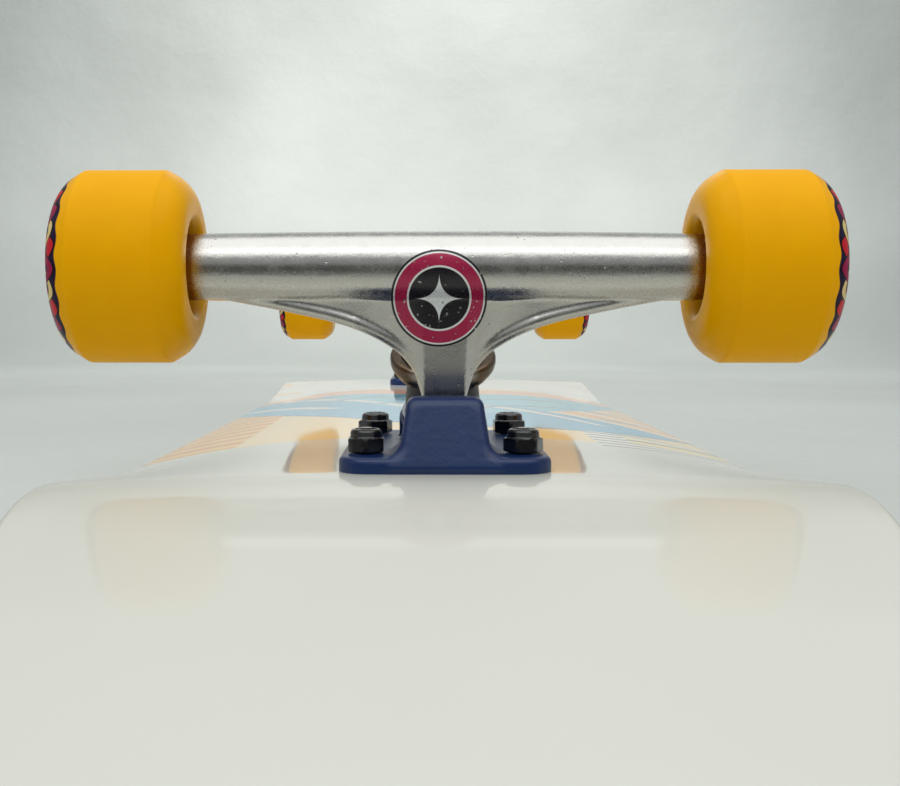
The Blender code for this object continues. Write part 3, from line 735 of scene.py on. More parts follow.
def flange_mesh(below):
    """The plate with rounded corners, its foot this far below the deck's underside."""
    half_x, half_y = FLANGE_HALF
    corners = ((1, 1, 0), (-1, 1, 90), (-1, -1, 180), (1, -1, 270))
    levels = [(0, -below), (0, FLANGE_HEIGHT - 0.0014), (0.0003, FLANGE_HEIGHT - 0.0005),
              (0.0013, FLANGE_HEIGHT)]
    sections = []
    for inset, height in levels:
        outline = []
        for sx, sy, start in corners:
            centre = (sx * (half_x - FLANGE_CORNER), sy * (half_y - FLANGE_CORNER))
            outline += [(x, y, height)
                        for x, y in arc(centre, FLANGE_CORNER - inset, start, start + 90, 12)]
        sections.append(outline)
    return skinned(sections)


def tower_outline(inset):
    """Half of the tower seen from its end, from its foot to its top, as (x, height)."""
    foot = TOWER_HALF_FOOT + TOWER_FILLET
    points = [(foot, FLANGE_HEIGHT - 0.001)]
    points += arc((foot, FLANGE_HEIGHT + TOWER_FILLET), TOWER_FILLET, 270, 180, 8)
    centre = (TOWER_HALF_TOP - TOWER_CORNER, TOWER_HEIGHT - TOWER_CORNER)
    points += arc(centre, TOWER_CORNER, 0, 90, 8)
    return [(x - inset if x > inset else x, z - inset) for x, z in points]


def tower_mesh():
    """The pivot housing: its inner end is square to the pivot axis, its outer end leans back."""
    mouth = along_pivot() @ Vector((0, 0, PIVOT_MOUTH))

    def section(inset, place):
        half = tower_outline(inset)
        return [(x, -place(z), z) for x, z in half + [(-x, z) for x, z in reversed(half)]]

    def inner(z):
        return -mouth.y + (z - mouth.z) * math.tan(PIVOT_ANGLE)

    def outer(z, back):
        return TOWER_FRONT - back - (z - FLANGE_HEIGHT) * TOWER_FRONT_SLOPE

    sections = [section(0.0005, inner), section(0, lambda z: inner(z) + 0.0005)]
    sections += [section(inset, lambda z, back=back: outer(z, back))
                 for inset, back in TOWER_FRONT_ROUND]
    return skinned(sections)


def rib_mesh(side):
    """A low rib from the tower to the kingpin's boss."""
    profile = [(-0.006, 0.004), (-0.006, 0.0062), (0.019, 0.0115), (0.022, 0.004)]
    return skinned([[(side * RIB_X + offset, -out, z) for out, z in profile]
                    for offset in (-RIB_HALF, RIB_HALF)])


def baseplate_mesh():
    """Plate, tower, ribs and kingpin boss as one casting, with its holes cut."""
    below = 0.002
    boss = moved(rod(BOSS_RADIUS, -0.035, BOSS_TOP, 64), tilt_frame())
    under = rod(CUTTER_WIDE, CUTTER_LOW, -below, 32)
    parts = [flange_mesh(below), tower_mesh(), rib_mesh(-1), rib_mesh(1), cut(boss, [under])]
    shell = fused(parts, 0.0004, 6)
    floor = rod(CUTTER_WIDE, CUTTER_LOW, 0.0, 32)
    bore = moved(rod(CUP_BORE, PIVOT_MOUTH - 0.004, PIVOT_MOUTH + CUP_DEPTH), along_pivot())
    recess = moved(rod(KINGPIN_HEAD_RADIUS + 0.0005, CUTTER_LOW, KINGPIN_HEAD[1] + GAP), tilt_frame())
    kingpin_hole = moved(rod(KINGPIN_HOLE, -0.03, 0.0), tilt_frame())
    bolt_holes = joined([rod(BOLT_HOLE, -0.01, 0.02, 32, spot) for spot in bolt_places()])
    return cut(shell, [floor, bore, recess, kingpin_hole, bolt_holes])


def pivot_cup_mesh():
    """The cup that the hanger's peg turns in."""
    outer = CUP_BORE - GAP
    floor = PIVOT_MOUTH + CUP_DEPTH - GAP
    mouth, tip = (radius + GAP for radius in PEG_RADIUS)
    profile = [(0, floor), (outer, floor, 0.0004), (outer, PIVOT_MOUTH, 0.0004),
               (mouth, PIVOT_MOUTH, 0.0003), (tip, floor - CUP_FLOOR, 0.0006), (0, floor - CUP_FLOOR)]
    return moved(turned(rounded(profile)), along_pivot())


# ---------------------------------------------------------------- kingpin stack

def kingpin_mesh():
    """The kingpin about its own axis, threaded under its nut."""
    low, high = KINGPIN_HEAD
    r = KINGPIN_RADIUS
    head = [(0, low), (KINGPIN_HEAD_RADIUS, low, 0.0010), (KINGPIN_HEAD_RADIUS, high, 0.0003),
            (r, high, 0.0002), (r, 0.010)]
    tip = [(r, KINGPIN_END - 0.0012), (r - 0.0010, KINGPIN_END, 0.0004), (0, KINGPIN_END)]
    return turned(rounded(head) + thread(r, 0.011, KINGPIN_END - 0.0014, KINGPIN_THREAD) + rounded(tip))


def bushing_mesh(span, end_radii):
    """A bushing about the kingpin, fuller at its middle."""
    low, high = span
    bore = KINGPIN_HOLE
    bottom, top = end_radii
    waist = (low + high) / 2
    belly = (bottom + top) / 2 + 0.0003
    profile = [(bore, low, 0.0004), (bottom - 0.0006, low, 0.0010), (bottom, low + 0.0018, 0.0010),
               (belly, waist - 0.0012, 0.002), (belly - 0.0003, waist + 0.0015, 0.002),
               (top, high, 0.0012), (bore, high, 0.0004)]
    return tube(profile, 6)


def cup_washer_mesh(low, lip):
    """A pressed washer, its lip turned up or down round the end of the bushing."""
    high = low + WASHER_THICKNESS
    profile = [(KINGPIN_HOLE, low, 0.0003), (WASHER_RADIUS, low, 0.0007), (WASHER_RADIUS, high, 0.0003),
               (WASHER_RADIUS - 0.0008, high, 0.0002), (WASHER_RADIUS - 0.0014, high - 0.0002, 0.0003),
               (KINGPIN_HOLE, high - 0.0002, 0.0003)]
    if lip < 0:
        profile = [(radius, low + high - height, fillet) for radius, height, fillet in profile]
    return tube(profile)


def nut_mesh(sizes, low=0.0):
    """A hexagonal lock nut with chamfered corners, and a domed collar that holds a nylon ring."""
    flat, height, collar, collar_height, bore = sizes
    corner = flat / math.cos(math.pi / 6)
    shoulder = height - collar_height
    chamfer = corner - flat
    waist = corner - chamfer * 0.45
    outline = hexagon(flat)

    # (height, reach) of the chamfered hexagon, then of the round collar and the bore
    six_sided = [(0.0001, flat * 0.99), (chamfer * 0.30, waist), (chamfer * 0.75, corner),
                 (shoulder - chamfer * 0.9, corner), (shoulder - chamfer * 0.40, waist),
                 (shoulder - 0.0002, flat * 0.99)]
    foot = [(0.0005, bore), (0, bore + 0.0004), (0, flat * 0.96)]
    dome = [(shoulder, collar * 1.03), (shoulder + 0.0002, collar), (height - 0.0009, collar),
            (height - 0.0003, collar - 0.0003), (height, collar - 0.0009), (height, collar - 0.0012),
            (height - 0.0004, collar - 0.0013), (height - 0.0004, bore)]
    rings = [ring_at(low + z, lambda angle, limit=limit: limit) for z, limit in foot]
    rings += [ring_at(low + z, lambda angle, limit=limit: min(limit, outline(angle)))
              for z, limit in six_sided]
    rings += [ring_at(low + z, lambda angle, limit=limit: limit) for z, limit in dome]
    mesh = skinned(rings, loop=True)
    for face in mesh.polygons:
        centre = face.center
        inner = math.hypot(centre.x, centre.y) < collar - 0.0012
        face.material_index = int(inner and centre.z > low + shoulder)
    return mesh


# ---------------------------------------------------------------- hanger

def web_edge_height(x):
    """Height of the hanger's lower edge at x from the middle, on a smooth curve."""
    points = WEB_EDGE
    x = min(max(x, points[0][0]), points[-1][0])
    for i in range(len(points) - 1):
        if x <= points[i + 1][0]:
            break
    before = points[max(0, i - 1)]
    start, end = points[i], points[i + 1]
    after = points[min(len(points) - 1, i + 2)]
    span = end[0] - start[0]
    t = (x - start[0]) / span
    slope_in = (end[1] - before[1]) / (end[0] - before[0]) * span
    slope_out = (after[1] - start[1]) / (after[0] - start[0]) * span
    return ((2 * t ** 3 - 3 * t ** 2 + 1) * start[1] + (t ** 3 - 2 * t ** 2 + t) * slope_in
            + (3 * t ** 2 - 2 * t ** 3) * end[1] + (t ** 3 - t ** 2) * slope_out)


def web_tip(x):
    """Outward place, height and radius of the web's rounded lower edge at x."""
    distance = abs(x)
    neck, thin = WEB_TIP_RADIUS
    neck_half = WEB_EDGE[0][0]
    if distance < neck_half:
        radius, height = neck, WEB_EDGE[0][1]
    else:
        radius = thin + (neck - thin) * math.exp(-(distance - neck_half) / WEB_TIP_THINS)
        height = web_edge_height(distance) + radius
    start, length = WEB_TIP_MOVES
    return mix(WEB_TIP_OUT, smoothstep((distance - start) / length)), height, radius


def wrapped(x, circles, count=48):
    """The section at x that wraps tightly round (outward place, height, radius) circles."""
    points = []
    for i in range(count):
        angle = math.tau * i / count
        out, up = math.cos(angle), math.sin(angle)
        centre = max(circles, key=lambda c: c[0] * out + c[1] * up + c[2])
        points.append((x, -(centre[0] + centre[2] * out), centre[1] + centre[2] * up))
    return points


def web_meshes():
    """The flat web under the barrel, and the rounded bead along its lower edge."""
    neck_half, last = WEB_EDGE[0][0], WEB_EDGE[-1][0]
    half = [neck_half * i / 8 for i in range(1, 8)]
    half += [neck_half + (last - neck_half) * (i / 60) ** 2 for i in range(61)]
    stations = [-x for x in reversed(half)] + [0.0] + half
    panel = []
    for x in stations:
        out, height, radius = web_tip(x)
        proud = WEB_BEAD_PROUD * smoothstep((abs(x) - WEB_BEAD_GROWS) / WEB_BEAD_GROWS)
        panel.append(wrapped(x, [WEB_ROOT, (out, height, radius - proud)]))
    bead = [wrapped(x, [web_tip(x)]) for x in stations]
    return [skinned(panel), skinned(bead)]


def barrel_mesh():
    """The tube round the axle, a little thinner to its ends."""
    steps = 24
    middle, end = BARREL_RADIUS
    profile = [(0, -BARREL_END), (end - 0.0008, -BARREL_END), (end - 0.0002, -BARREL_END + 0.0003)]
    for i in range(steps + 1):
        height = (BARREL_END - 0.0009) * (2 * i / steps - 1)
        profile.append((mix((middle, end), (height / BARREL_END) ** 2), height))
    profile += [(radius, -height) for radius, height in reversed(profile[:3])]
    return moved(turned(profile, 64), axle_place() @ to_axle())


def hanger_mesh():
    """Barrel, web, neck, ring and gusset as one casting, bored for the axle."""
    neck_start = RING_SEAT + 0.0011
    shoulder = PIVOT_MOUTH - 0.0012
    mouth, tip = PEG_RADIUS
    neck_profile = [(0, neck_start), (NECK_RADIUS - 0.0008, neck_start),
                    (NECK_RADIUS, neck_start + 0.004), (NECK_RADIUS, shoulder - 0.003, 0.001),
                    (mouth, shoulder, 0.0005),
                    (mouth, PIVOT_MOUTH, 0.0005), (tip, PEG_END - 0.0012, 0.0008),
                    (tip - 0.0012, PEG_END, 0.0008), (0, PEG_END)]
    neck = moved(turned(rounded(neck_profile)), along_pivot())
    (rim_low, rim_top), plate = RING_RIM, RING_PLATE_HALF
    foot, lip = RING_FOOT
    ring_profile = [(RING_HOLE, -plate, 0.0003), (RING_SEAT, -plate, 0.0003), (RING_SEAT, lip, 0.0002),
                    (foot, lip, 0.0004), (RING_RADIUS, rim_low, 0.0012), (RING_RADIUS, rim_top, 0.0016),
                    (RING_SEAT, rim_top, 0.0006), (RING_SEAT, plate, 0.0008), (RING_HOLE, plate, 0.0003)]
    ring = moved(tube(ring_profile, 5, 96), tilt_frame())
    gusset = skinned([[(x, -out, z) for out, z in GUSSET] for x in (-GUSSET_HALF, GUSSET_HALF)])
    body = fused([barrel_mesh(), *web_meshes(), neck, ring, gusset], 0.00045, 5)
    return cut(body, [moved(rod(AXLE_HOLE, -0.08, 0.08), axle_place() @ to_axle())])


# ---------------------------------------------------------------- axle, wheels and bearings

def to_axle():
    """Turns a piece drawn along Z so that its heights run to +X."""
    return Matrix.Rotation(math.pi / 2, 4, "Y")


def axle_place():
    return Matrix.Translation((0, -AXLE_OUT, AXLE_HEIGHT))


def axle_mesh():
    """The axle, threaded at both ends."""
    start, pitch = AXLE_THREAD
    end, r = AXLE_HALF, AXLE_RADIUS
    tip = rounded([(r, end - 0.0012), (r - 0.001, end, 0.0004), (0, end)])
    right = thread(r, start, end - 0.0014, pitch) + tip
    profile = [(radius, -height) for radius, height in reversed(right)] + right
    return moved(turned(profile), to_axle())


def wheel_mesh():
    """A wheel about its own centre, its outer side to +X."""
    seat = BEARING_RADIUS + GAP
    seat_start = SPACER_WIDTH / 2 - GAP
    seat_end = SPACER_WIDTH / 2 + BEARING_WIDTH + GAP
    half = [(seat, seat_start, 0.0003), (seat, seat_end, 0.0012), (0.0122, 0.0160, 0.0012),
            (0.0134, WHEEL_HALF, 0.0012), (0.0190, WHEEL_HALF, 0.0030), (0.0230, 0.0148, 0.0024),
            (WHEEL_RADIUS, TREAD_HALF, 0.0005)]
    core = SPACER_RADIUS + 0.0025
    profile = [(core, -seat_start, 0.0005), (core, seat_start, 0.0005)] + half
    profile += [(radius, -along, fillet) for radius, along, fillet in reversed(half)]
    return moved(tube(profile, 6, 128), to_axle())


def bearings_mesh():
    """Two shielded bearings on one spacer, about the wheel's centre."""
    inner = SPACER_WIDTH / 2
    outer = inner + BEARING_WIDTH
    shield = outer - 0.0004
    face = [(AXLE_HOLE, outer, 0.0003), (0.0056, outer, 0.0002), (0.0057, shield, 0.0001),
            (0.0062, shield + 0.0002, 0.0002), (0.0094, shield + 0.0002, 0.0002),
            (0.0097, shield, 0.0001),
            (0.0098, outer, 0.0002), (BEARING_RADIUS, outer, 0.0004)]
    right = [(SPACER_RADIUS, inner), (BEARING_RADIUS, inner, 0.0004)] + list(reversed(face))
    left = [(point[0], -point[1], *point[2:]) for point in reversed(right)]
    return moved(tube(left + right, 3), to_axle())


def speed_washer_mesh():
    radius, thickness = SPEED_WASHER
    profile = [(AXLE_HOLE, 0, 0.0001), (radius, 0, 0.0003), (radius, thickness, 0.0003),
               (AXLE_HOLE, thickness, 0.0001)]
    return moved(tube(profile, 3, 48), to_axle())


def bolt_mesh():
    """A countersunk bolt with a hexagonal socket, its thread up through the nut."""
    face, rim, foot = head_levels()
    radius = BOLT_HEAD[0]
    socket, deep = BOLT_SOCKET

    def circle(size, z):
        return ring_at(z, lambda angle: size)

    inner, bevel = (hexagon(size * 0.92) for size in (socket, socket * 1.08))
    rows = [ring_at(face + deep, inner), ring_at(face + 0.0001, inner), ring_at(face, bevel),
            circle(radius - 0.0003, face), circle(radius, face + 0.0002), circle(radius, rim)]
    rows += [circle(size, z) for size, z in thread(BOLT_RADIUS, foot, BOLT_TOP - 0.0006, BOLT_THREAD)]
    rows += [circle(BOLT_RADIUS - 0.0007, BOLT_TOP)]
    return skinned(rows)


# ---------------------------------------------------------------- finishes

def past_curve(finish, level, tilt, bend):
    """How far along the deck a point lies past the curve y = level + tilt x + bend x^2."""
    x, y, _ = finish.axes()
    curve = finish.plus(finish.both(x, tilt), level)
    curve = finish.plus(curve, finish.both(finish.both(x, x), bend))
    return finish.minus(y, curve)


def between(finish, near, far):
    """The sweep of the deck between two curves."""
    soft = PRINT_SOFT
    return finish.both(finish.span(past_curve(finish, *near), -soft, soft),
                       finish.under(past_curve(finish, *far), -soft, soft))


def stripes(finish, across, count, width):
    """Slanted stripes, count of them to the metre along the deck."""
    x, y, _ = finish.axes()
    slant = finish.plus(finish.both(x, across * count), finish.both(y, count))
    return finish.within(finish.math("FRACT", slant), 0.5 - width / 2, 0.5 + width / 2, 0.05)


def deck_print():
    """White lacquer over an abstract print: blue sweeps, peach fields and orange stripes."""
    finish = Finish("deck_print", Roughness=0.42, Coat_Weight=0.85, Coat_Roughness=0.06)
    x, y, _ = finish.axes()
    cloud = finish.noise(9.0, 2.0)
    colour = finish.blend(cloud, rgb(206, 207, 196), rgb(214, 215, 205))
    for near, far, paint in DECK_SWEEPS:
        colour = finish.blend(between(finish, near, far), colour, paint)
    for near, far, pattern, paint in DECK_STREAKS:
        streaks = finish.both(stripes(finish, *pattern), between(finish, near, far))
        colour = finish.blend(streaks, colour, paint)
    for low, high, start, end, ground, pattern, paint in DECK_FIELDS:
        field = finish.both(finish.within(x, low, high, PRINT_SOFT),
                            finish.within(y, start, end, FIELD_SOFT))
        field = finish.both(field, finish.under(past_curve(finish, *TIDE), -PRINT_SOFT, PRINT_SOFT))
        colour = finish.blend(field, colour, ground)
        colour = finish.blend(finish.both(stripes(finish, *pattern), field), colour, paint)
    finish.paint(colour)
    finish.bump(finish.noise(70.0, 2.0), 0.00006)
    return finish.material


def deck_plies():
    """The cut edge: maple plies with dark glue lines between them."""
    finish = Finish("deck_plies", Roughness=0.42, Coat_Weight=0.3, Coat_Roughness=0.15)
    depth = finish.node("ShaderNodeAttribute", attribute_name="depth").outputs["Fac"]
    ply = finish.both(depth, PLIES)
    shade = finish.math("FRACT", finish.both(finish.math("FLOOR", ply), 0.381))
    grain = finish.noise(420.0, 4.0)
    wood = finish.blend(shade, rgb(214, 176, 128), rgb(188, 142, 92))
    wood = finish.blend(finish.span(grain, 0.45, 0.75, 0.0, 0.35), wood, rgb(140, 96, 58))
    glue = finish.within(finish.math("FRACT", finish.plus(ply, 0.5)), 0.46, 0.54, 0.02)
    finish.paint(finish.blend(finish.both(glue, 0.6), wood, rgb(92, 58, 34)))
    finish.bump(grain, 0.00006)
    return finish.material


def deck_bare():
    """The rider's side, clear-coated maple with its grain along the board."""
    finish = Finish("deck_bare", Roughness=0.40, Coat_Weight=0.4, Coat_Roughness=0.10)
    grain = finish.noise(260.0, 4.0, vector=finish.stretched(1.0, 0.06, 1.0))
    finish.paint(finish.blend(grain, rgb(206, 168, 120), rgb(182, 138, 90)))
    finish.bump(grain, 0.00005)
    return finish.material


def grit():
    finish = Finish("grip_grit", Roughness=0.92)
    grains = finish.cells(1500.0)
    finish.paint(finish.blend(finish.span(grains, 0.1, 0.6), rgb(58, 58, 60), rgb(16, 16, 18)))
    finish.bump(finish.inverse(grains), 0.00035)
    return finish.material


def navy_paint():
    finish = Finish("navy_paint", Roughness=0.36, Specular_IOR_Level=0.42, Coat_Weight=0.10,
                    Coat_Roughness=0.12)
    cloud = finish.noise(160.0, 3.0)
    finish.paint(finish.blend(cloud, rgb(6, 36, 82), rgb(9, 44, 94)))
    finish.bump(finish.noise(420.0, 2.0), 0.00010)
    finish.bump(finish.noise(1600.0, 2.0), 0.00002)
    return finish.material


def cast_aluminium(name):
    """Tumbled raw casting: fine grain and small pits, with a painted brown reflection on its ring and
    painted brown shade and reflection inside the wheels.
    """
    finish = Finish(name, Metallic=1.0)
    grain = finish.noise(2200.0, 3.0, 0.6)
    patches = finish.noise(230.0, 3.0)
    pits = finish.under(finish.cells(520.0), 0.05, 0.18)
    sparse = finish.span(finish.noise(310.0, 1.0), 0.54, 0.66)
    pits = finish.both(pits, sparse)
    metal = finish.blend(patches, rgb(186, 185, 181), rgb(202, 201, 196))
    metal = finish.blend(finish.both(pits, 0.4), metal, rgb(120, 118, 112))
    x, y, z = finish.axes()
    # painted shade and painted reflection: the barrel's ends inside the wheels turn brown, as if shaded
    # by the wheels and mirroring them
    ends = finish.span(finish.size(x), *BARREL_END_PAINTED_SHADE)
    # painted reflection: the ring turns dark brown, as if mirroring the yellow wheels and the deck under
    # it
    ring = finish.under(finish.size(y), *RING_PAINTED_REFLECTION)
    metal = finish.blend(finish.both(ends, 0.8), metal, rgb(150, 100, 50))
    metal = finish.blend(finish.both(ring, 0.9), metal, rgb(82, 57, 24))
    finish.paint(metal)
    tumbled = finish.span(finish.plus(finish.both(grain, 0.5), finish.both(patches, 0.5)),
                          0.35, 0.65, 0.20, 0.33)
    panel = finish.span(z, DECK_Z + PANEL_TOP[0], DECK_Z + PANEL_TOP[1], 1.0, 0.0)
    finish.shade("Roughness", finish.plus(tumbled, finish.both(panel, 0.05)))
    finish.bump(grain, 0.00002)
    finish.bump(finish.noise(700.0, 2.0), 0.00003)
    finish.bump(finish.inverse(pits), 0.00010)
    return finish


def badge_mark():
    """The casting with a printed mark: a crimson ring round a dark disc with a pale star."""
    finish = cast_aluminium("cast_aluminium_badge")
    metal = finish.shader.inputs["Base Color"].links[0].from_socket
    x, y, z = finish.axes()
    facing = finish.both(finish.math("SIGN", y), -1.0)
    x = finish.minus(finish.both(x, facing), BADGE_PLACE[0])
    up = finish.minus(z, DECK_Z + BADGE_PLACE[1])
    reach = finish.distance(x, up)
    edge, outer, ring, inner, disc = BADGE_RINGS
    soft = 0.00008

    def inside(radius):
        return finish.under(reach, radius - soft, radius + soft)

    # a four-pointed star: the roots of the two distances add up to no more than its reach's root
    star = finish.plus(finish.math("POWER", finish.size(x), 0.5),
                       finish.math("POWER", finish.size(up), 0.5))
    tip = math.sqrt(STAR_REACH)
    star = finish.under(star, tip - STAR_SOFT, tip + STAR_SOFT)
    colour = metal
    layers = ((inside(edge), rgb(26, 22, 26)), (inside(outer), rgb(226, 228, 226)),
              (inside(ring), rgb(168, 28, 72)), (inside(inner), rgb(226, 228, 226)),
              (inside(disc), rgb(30, 26, 32)), (star, rgb(222, 226, 226)))
    for share, paint in layers:
        colour = finish.blend(share, colour, paint)
    specks = finish.span(finish.noise(900.0, 2.0), 0.66, 0.72)
    painted = finish.both(inside(edge), finish.inverse(specks))
    finish.paint(finish.blend(painted, metal, colour))
    finish.shade("Metallic", finish.inverse(finish.both(painted, 0.85)))
    return finish.material


def steel(name, colour, roughness, grain=0.00003):
    """Machined or plated steel with a faint cloud."""
    finish = Finish(name, Metallic=1.0)
    cloud = finish.noise(900.0, 3.0)
    finish.paint(finish.blend(cloud, shaded(colour, 0.82), colour))
    finish.shade("Roughness", finish.span(cloud, 0.3, 0.7, roughness * 0.8, roughness * 1.2))
    finish.bump(finish.noise(2600.0, 2.0), grain)
    return finish.material


def black_finish():
    """Black oxide under oil."""
    finish = Finish("black_steel", Roughness=0.24, Metallic=0.2, Coat_Weight=0.7, Coat_Roughness=0.08)
    cloud = finish.noise(700.0, 3.0)
    finish.paint(finish.blend(cloud, rgb(8, 8, 9), rgb(20, 20, 22)))
    finish.bump(finish.noise(900.0, 3.0), 0.00008)
    return finish.material


def nylon(name, colour):
    finish = Finish(name, Roughness=0.45, Subsurface_Weight=0.2, Subsurface_Scale=0.001)
    cloud = finish.noise(600.0, 2.0)
    finish.paint(finish.blend(cloud, colour, shaded(colour, 1.15)))
    finish.bump(cloud, 0.00004)
    return finish.material


def bearing_steel():
    """Ground rings round a duller shield."""
    finish = Finish("bearing_steel", Metallic=1.0)
    _, y, z = finish.axes()
    reach = finish.distance(y, z)
    shield = finish.within(reach, 0.0058, 0.0096, 0.0001)
    brushed = finish.noise(1400.0, 2.0)
    ground = finish.blend(brushed, rgb(196, 198, 202), rgb(222, 223, 226))
    finish.paint(finish.blend(shield, ground, rgb(150, 152, 156)))
    finish.shade("Roughness", finish.span(shield, 0.0, 1.0, 0.20, 0.38, smooth=False))
    finish.bump(brushed, 0.00002)
    return finish.material


def urethane(name):
    """Cast yellow urethane: glossy moulded sides, and a tread left satin by the lathe."""
    finish = Finish(name, Subsurface_Weight=0.15, Subsurface_Radius=(1.0, 0.42, 0.06),
                    Subsurface_Scale=0.003, Specular_IOR_Level=0.06)
    _, y, z = finish.axes()
    reach = finish.distance(y, z)
    tread = finish.span(reach, WHEEL_RADIUS - 0.0004, WHEEL_RADIUS - 0.0002)
    cloud = finish.noise(120.0, 3.0)
    body = finish.blend(cloud, rgb(236, 166, 0), rgb(243, 176, 0))
    finish.paint(body)
    finish.shade("Roughness", finish.span(tread, 0.0, 1.0, 0.24, 0.48, smooth=False))
    marks = finish.both(finish.noise(2600.0, 2.0, vector=finish.stretched(1.0, 0.04, 0.04)), tread)
    finish.bump(marks, 0.00003)
    finish.bump(finish.noise(500.0, 2.0), 0.00003)
    return finish


def printed_urethane():
    """A wheel's outer side: a printed ring of plaited bands with dark outlines."""
    finish = urethane("yellow_urethane_print")
    body = finish.shader.inputs["Base Color"].links[0].from_socket
    _, y, z = finish.axes()
    reach = finish.distance(y, z)
    turn = finish.math("ARCTAN2", z, y)
    across = finish.span(reach, PRINT_BAND[0], PRINT_BAND[1], smooth=False)
    wobble = finish.both(finish.math("SINE", finish.both(turn, 19.0)), 0.018)
    across = finish.plus(across, wobble)
    colour = body
    band = finish.within(across, 0.03, 0.94, 0.01)
    colour = finish.blend(band, colour, rgb(34, 22, 52))
    rim = finish.within(across, 0.06, 0.15, 0.01)
    colour = finish.blend(rim, colour, rgb(40, 52, 150))
    strands = ((0.0, rgb(196, 30, 44), 0.115), (2.1, rgb(222, 196, 130), 0.075),
               (4.2, rgb(150, 24, 70), 0.095))
    for phase, paint, half in strands:
        swing = finish.math("SINE", finish.plus(finish.both(turn, 9.0), phase))
        middle = finish.plus(finish.both(swing, 0.24), 0.54)
        off = finish.size(finish.minus(across, middle))
        outline = finish.under(off, half + 0.035, half + 0.055)
        strand = finish.under(off, half - 0.01, half + 0.01)
        colour = finish.blend(outline, colour, rgb(18, 12, 20))
        colour = finish.blend(strand, colour, paint)
    finish.paint(colour)
    return finish.material


def rubbery(name, low, high, roughness):
    """A plain matt material between two shades."""
    finish = Finish(name, Roughness=roughness)
    cloud = finish.noise(400.0, 3.0)
    finish.paint(finish.blend(cloud, low, high))
    finish.bump(finish.noise(1200.0, 2.0), 0.00004)
    return finish.material


# ---------------------------------------------------------------- placing

def put(node, mesh, world, finishes, origin=None):
    """A detailed piece in a CAD node's place, with the CAD part hidden."""
    piece = new_object(f"fine_{node}", mesh.copy())
    piece.data.transform(world)
    if origin is not None:
        piece.data.transform(Matrix.Translation(-origin))
        piece.location = origin
    for finish in finishes:
        piece.data.materials.append(finish)
    piece.data.shade_smooth()
    piece.data.set_sharp_from_angle(angle=math.radians(40))
    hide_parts(node)
    return piece


def ride(node, mesh, world, finishes, origin=None):
    """The same, rigid on its node's body."""
    piece = put(node, mesh, world, finishes, origin)
    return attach(piece, frame["nodes"][node]["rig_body"])


def mark_faces(mesh, chooses):
    """Give each face the number of its finish, by chooses(face)."""
    mesh.materials.clear()
    mesh.polygons.foreach_set("material_index", [chooses(face) for face in mesh.polygons])
    return mesh


def build_deck(finishes):
    lift = Matrix.Translation((0, 0, DECK_Z))
    deck = deck_mesh()
    depths = [d.value for d in deck.attributes["depth"].data]

    def side(face):
        level = sum(depths[v] for v in face.vertices) / len(face.vertices)
        return 0 if level < PRINT_WRAP else 2 if level > 0.99 else 1

    mark_faces(deck, side)
    ride("deck", deck, lift, [finishes["deck_print"], finishes["deck_plies"], finishes["deck_bare"]])
    ride("grip_sheet", grip_mesh(), lift, [finishes["grit"]])


def truck_meshes():
    """One mesh for each kind of truck piece, shared by both trucks."""
    lower_washer = BOSS_TOP + GAP
    upper_washer = UPPER_BUSHING[1] + GAP
    nut_seat = upper_washer + WASHER_THICKNESS + GAP
    wheel = wheel_mesh()
    mark_faces(wheel, lambda face: int(face.center.x > TREAD_HALF + 0.0002))
    hanger = hanger_mesh()
    middle = Vector(BADGE_PLACE)

    def carries_badge(face):
        spot = Vector((face.center.x, face.center.z))
        return int(face.normal.y < -0.05 and (spot - middle).length < BADGE_RINGS[0] + 0.0015)

    mark_faces(hanger, carries_badge)
    return {
        "baseplate": baseplate_mesh(),
        "pivot_cup": pivot_cup_mesh(),
        "hanger": hanger,
        "kingpin": kingpin_mesh(),
        "lower_washer": cup_washer_mesh(lower_washer, 1),
        "lower_bushing": bushing_mesh(LOWER_BUSHING, LOWER_BUSHING_RADII),
        "upper_bushing": bushing_mesh(UPPER_BUSHING, UPPER_BUSHING_RADII),
        "upper_washer": cup_washer_mesh(upper_washer, -1),
        "kingpin_nut": nut_mesh(KINGPIN_NUT, nut_seat),
        "mounting_bolt": bolt_mesh(),
        "mounting_nut": nut_mesh(MOUNT_NUT, FLANGE_HEIGHT + GAP),
        "axle": axle_mesh(),
        "wheel": wheel,
        "wheel_bearings": bearings_mesh(),
        "speed_washer": speed_washer_mesh(),
        "axle_nut": moved(nut_mesh(AXLE_NUT), to_axle()),
    }


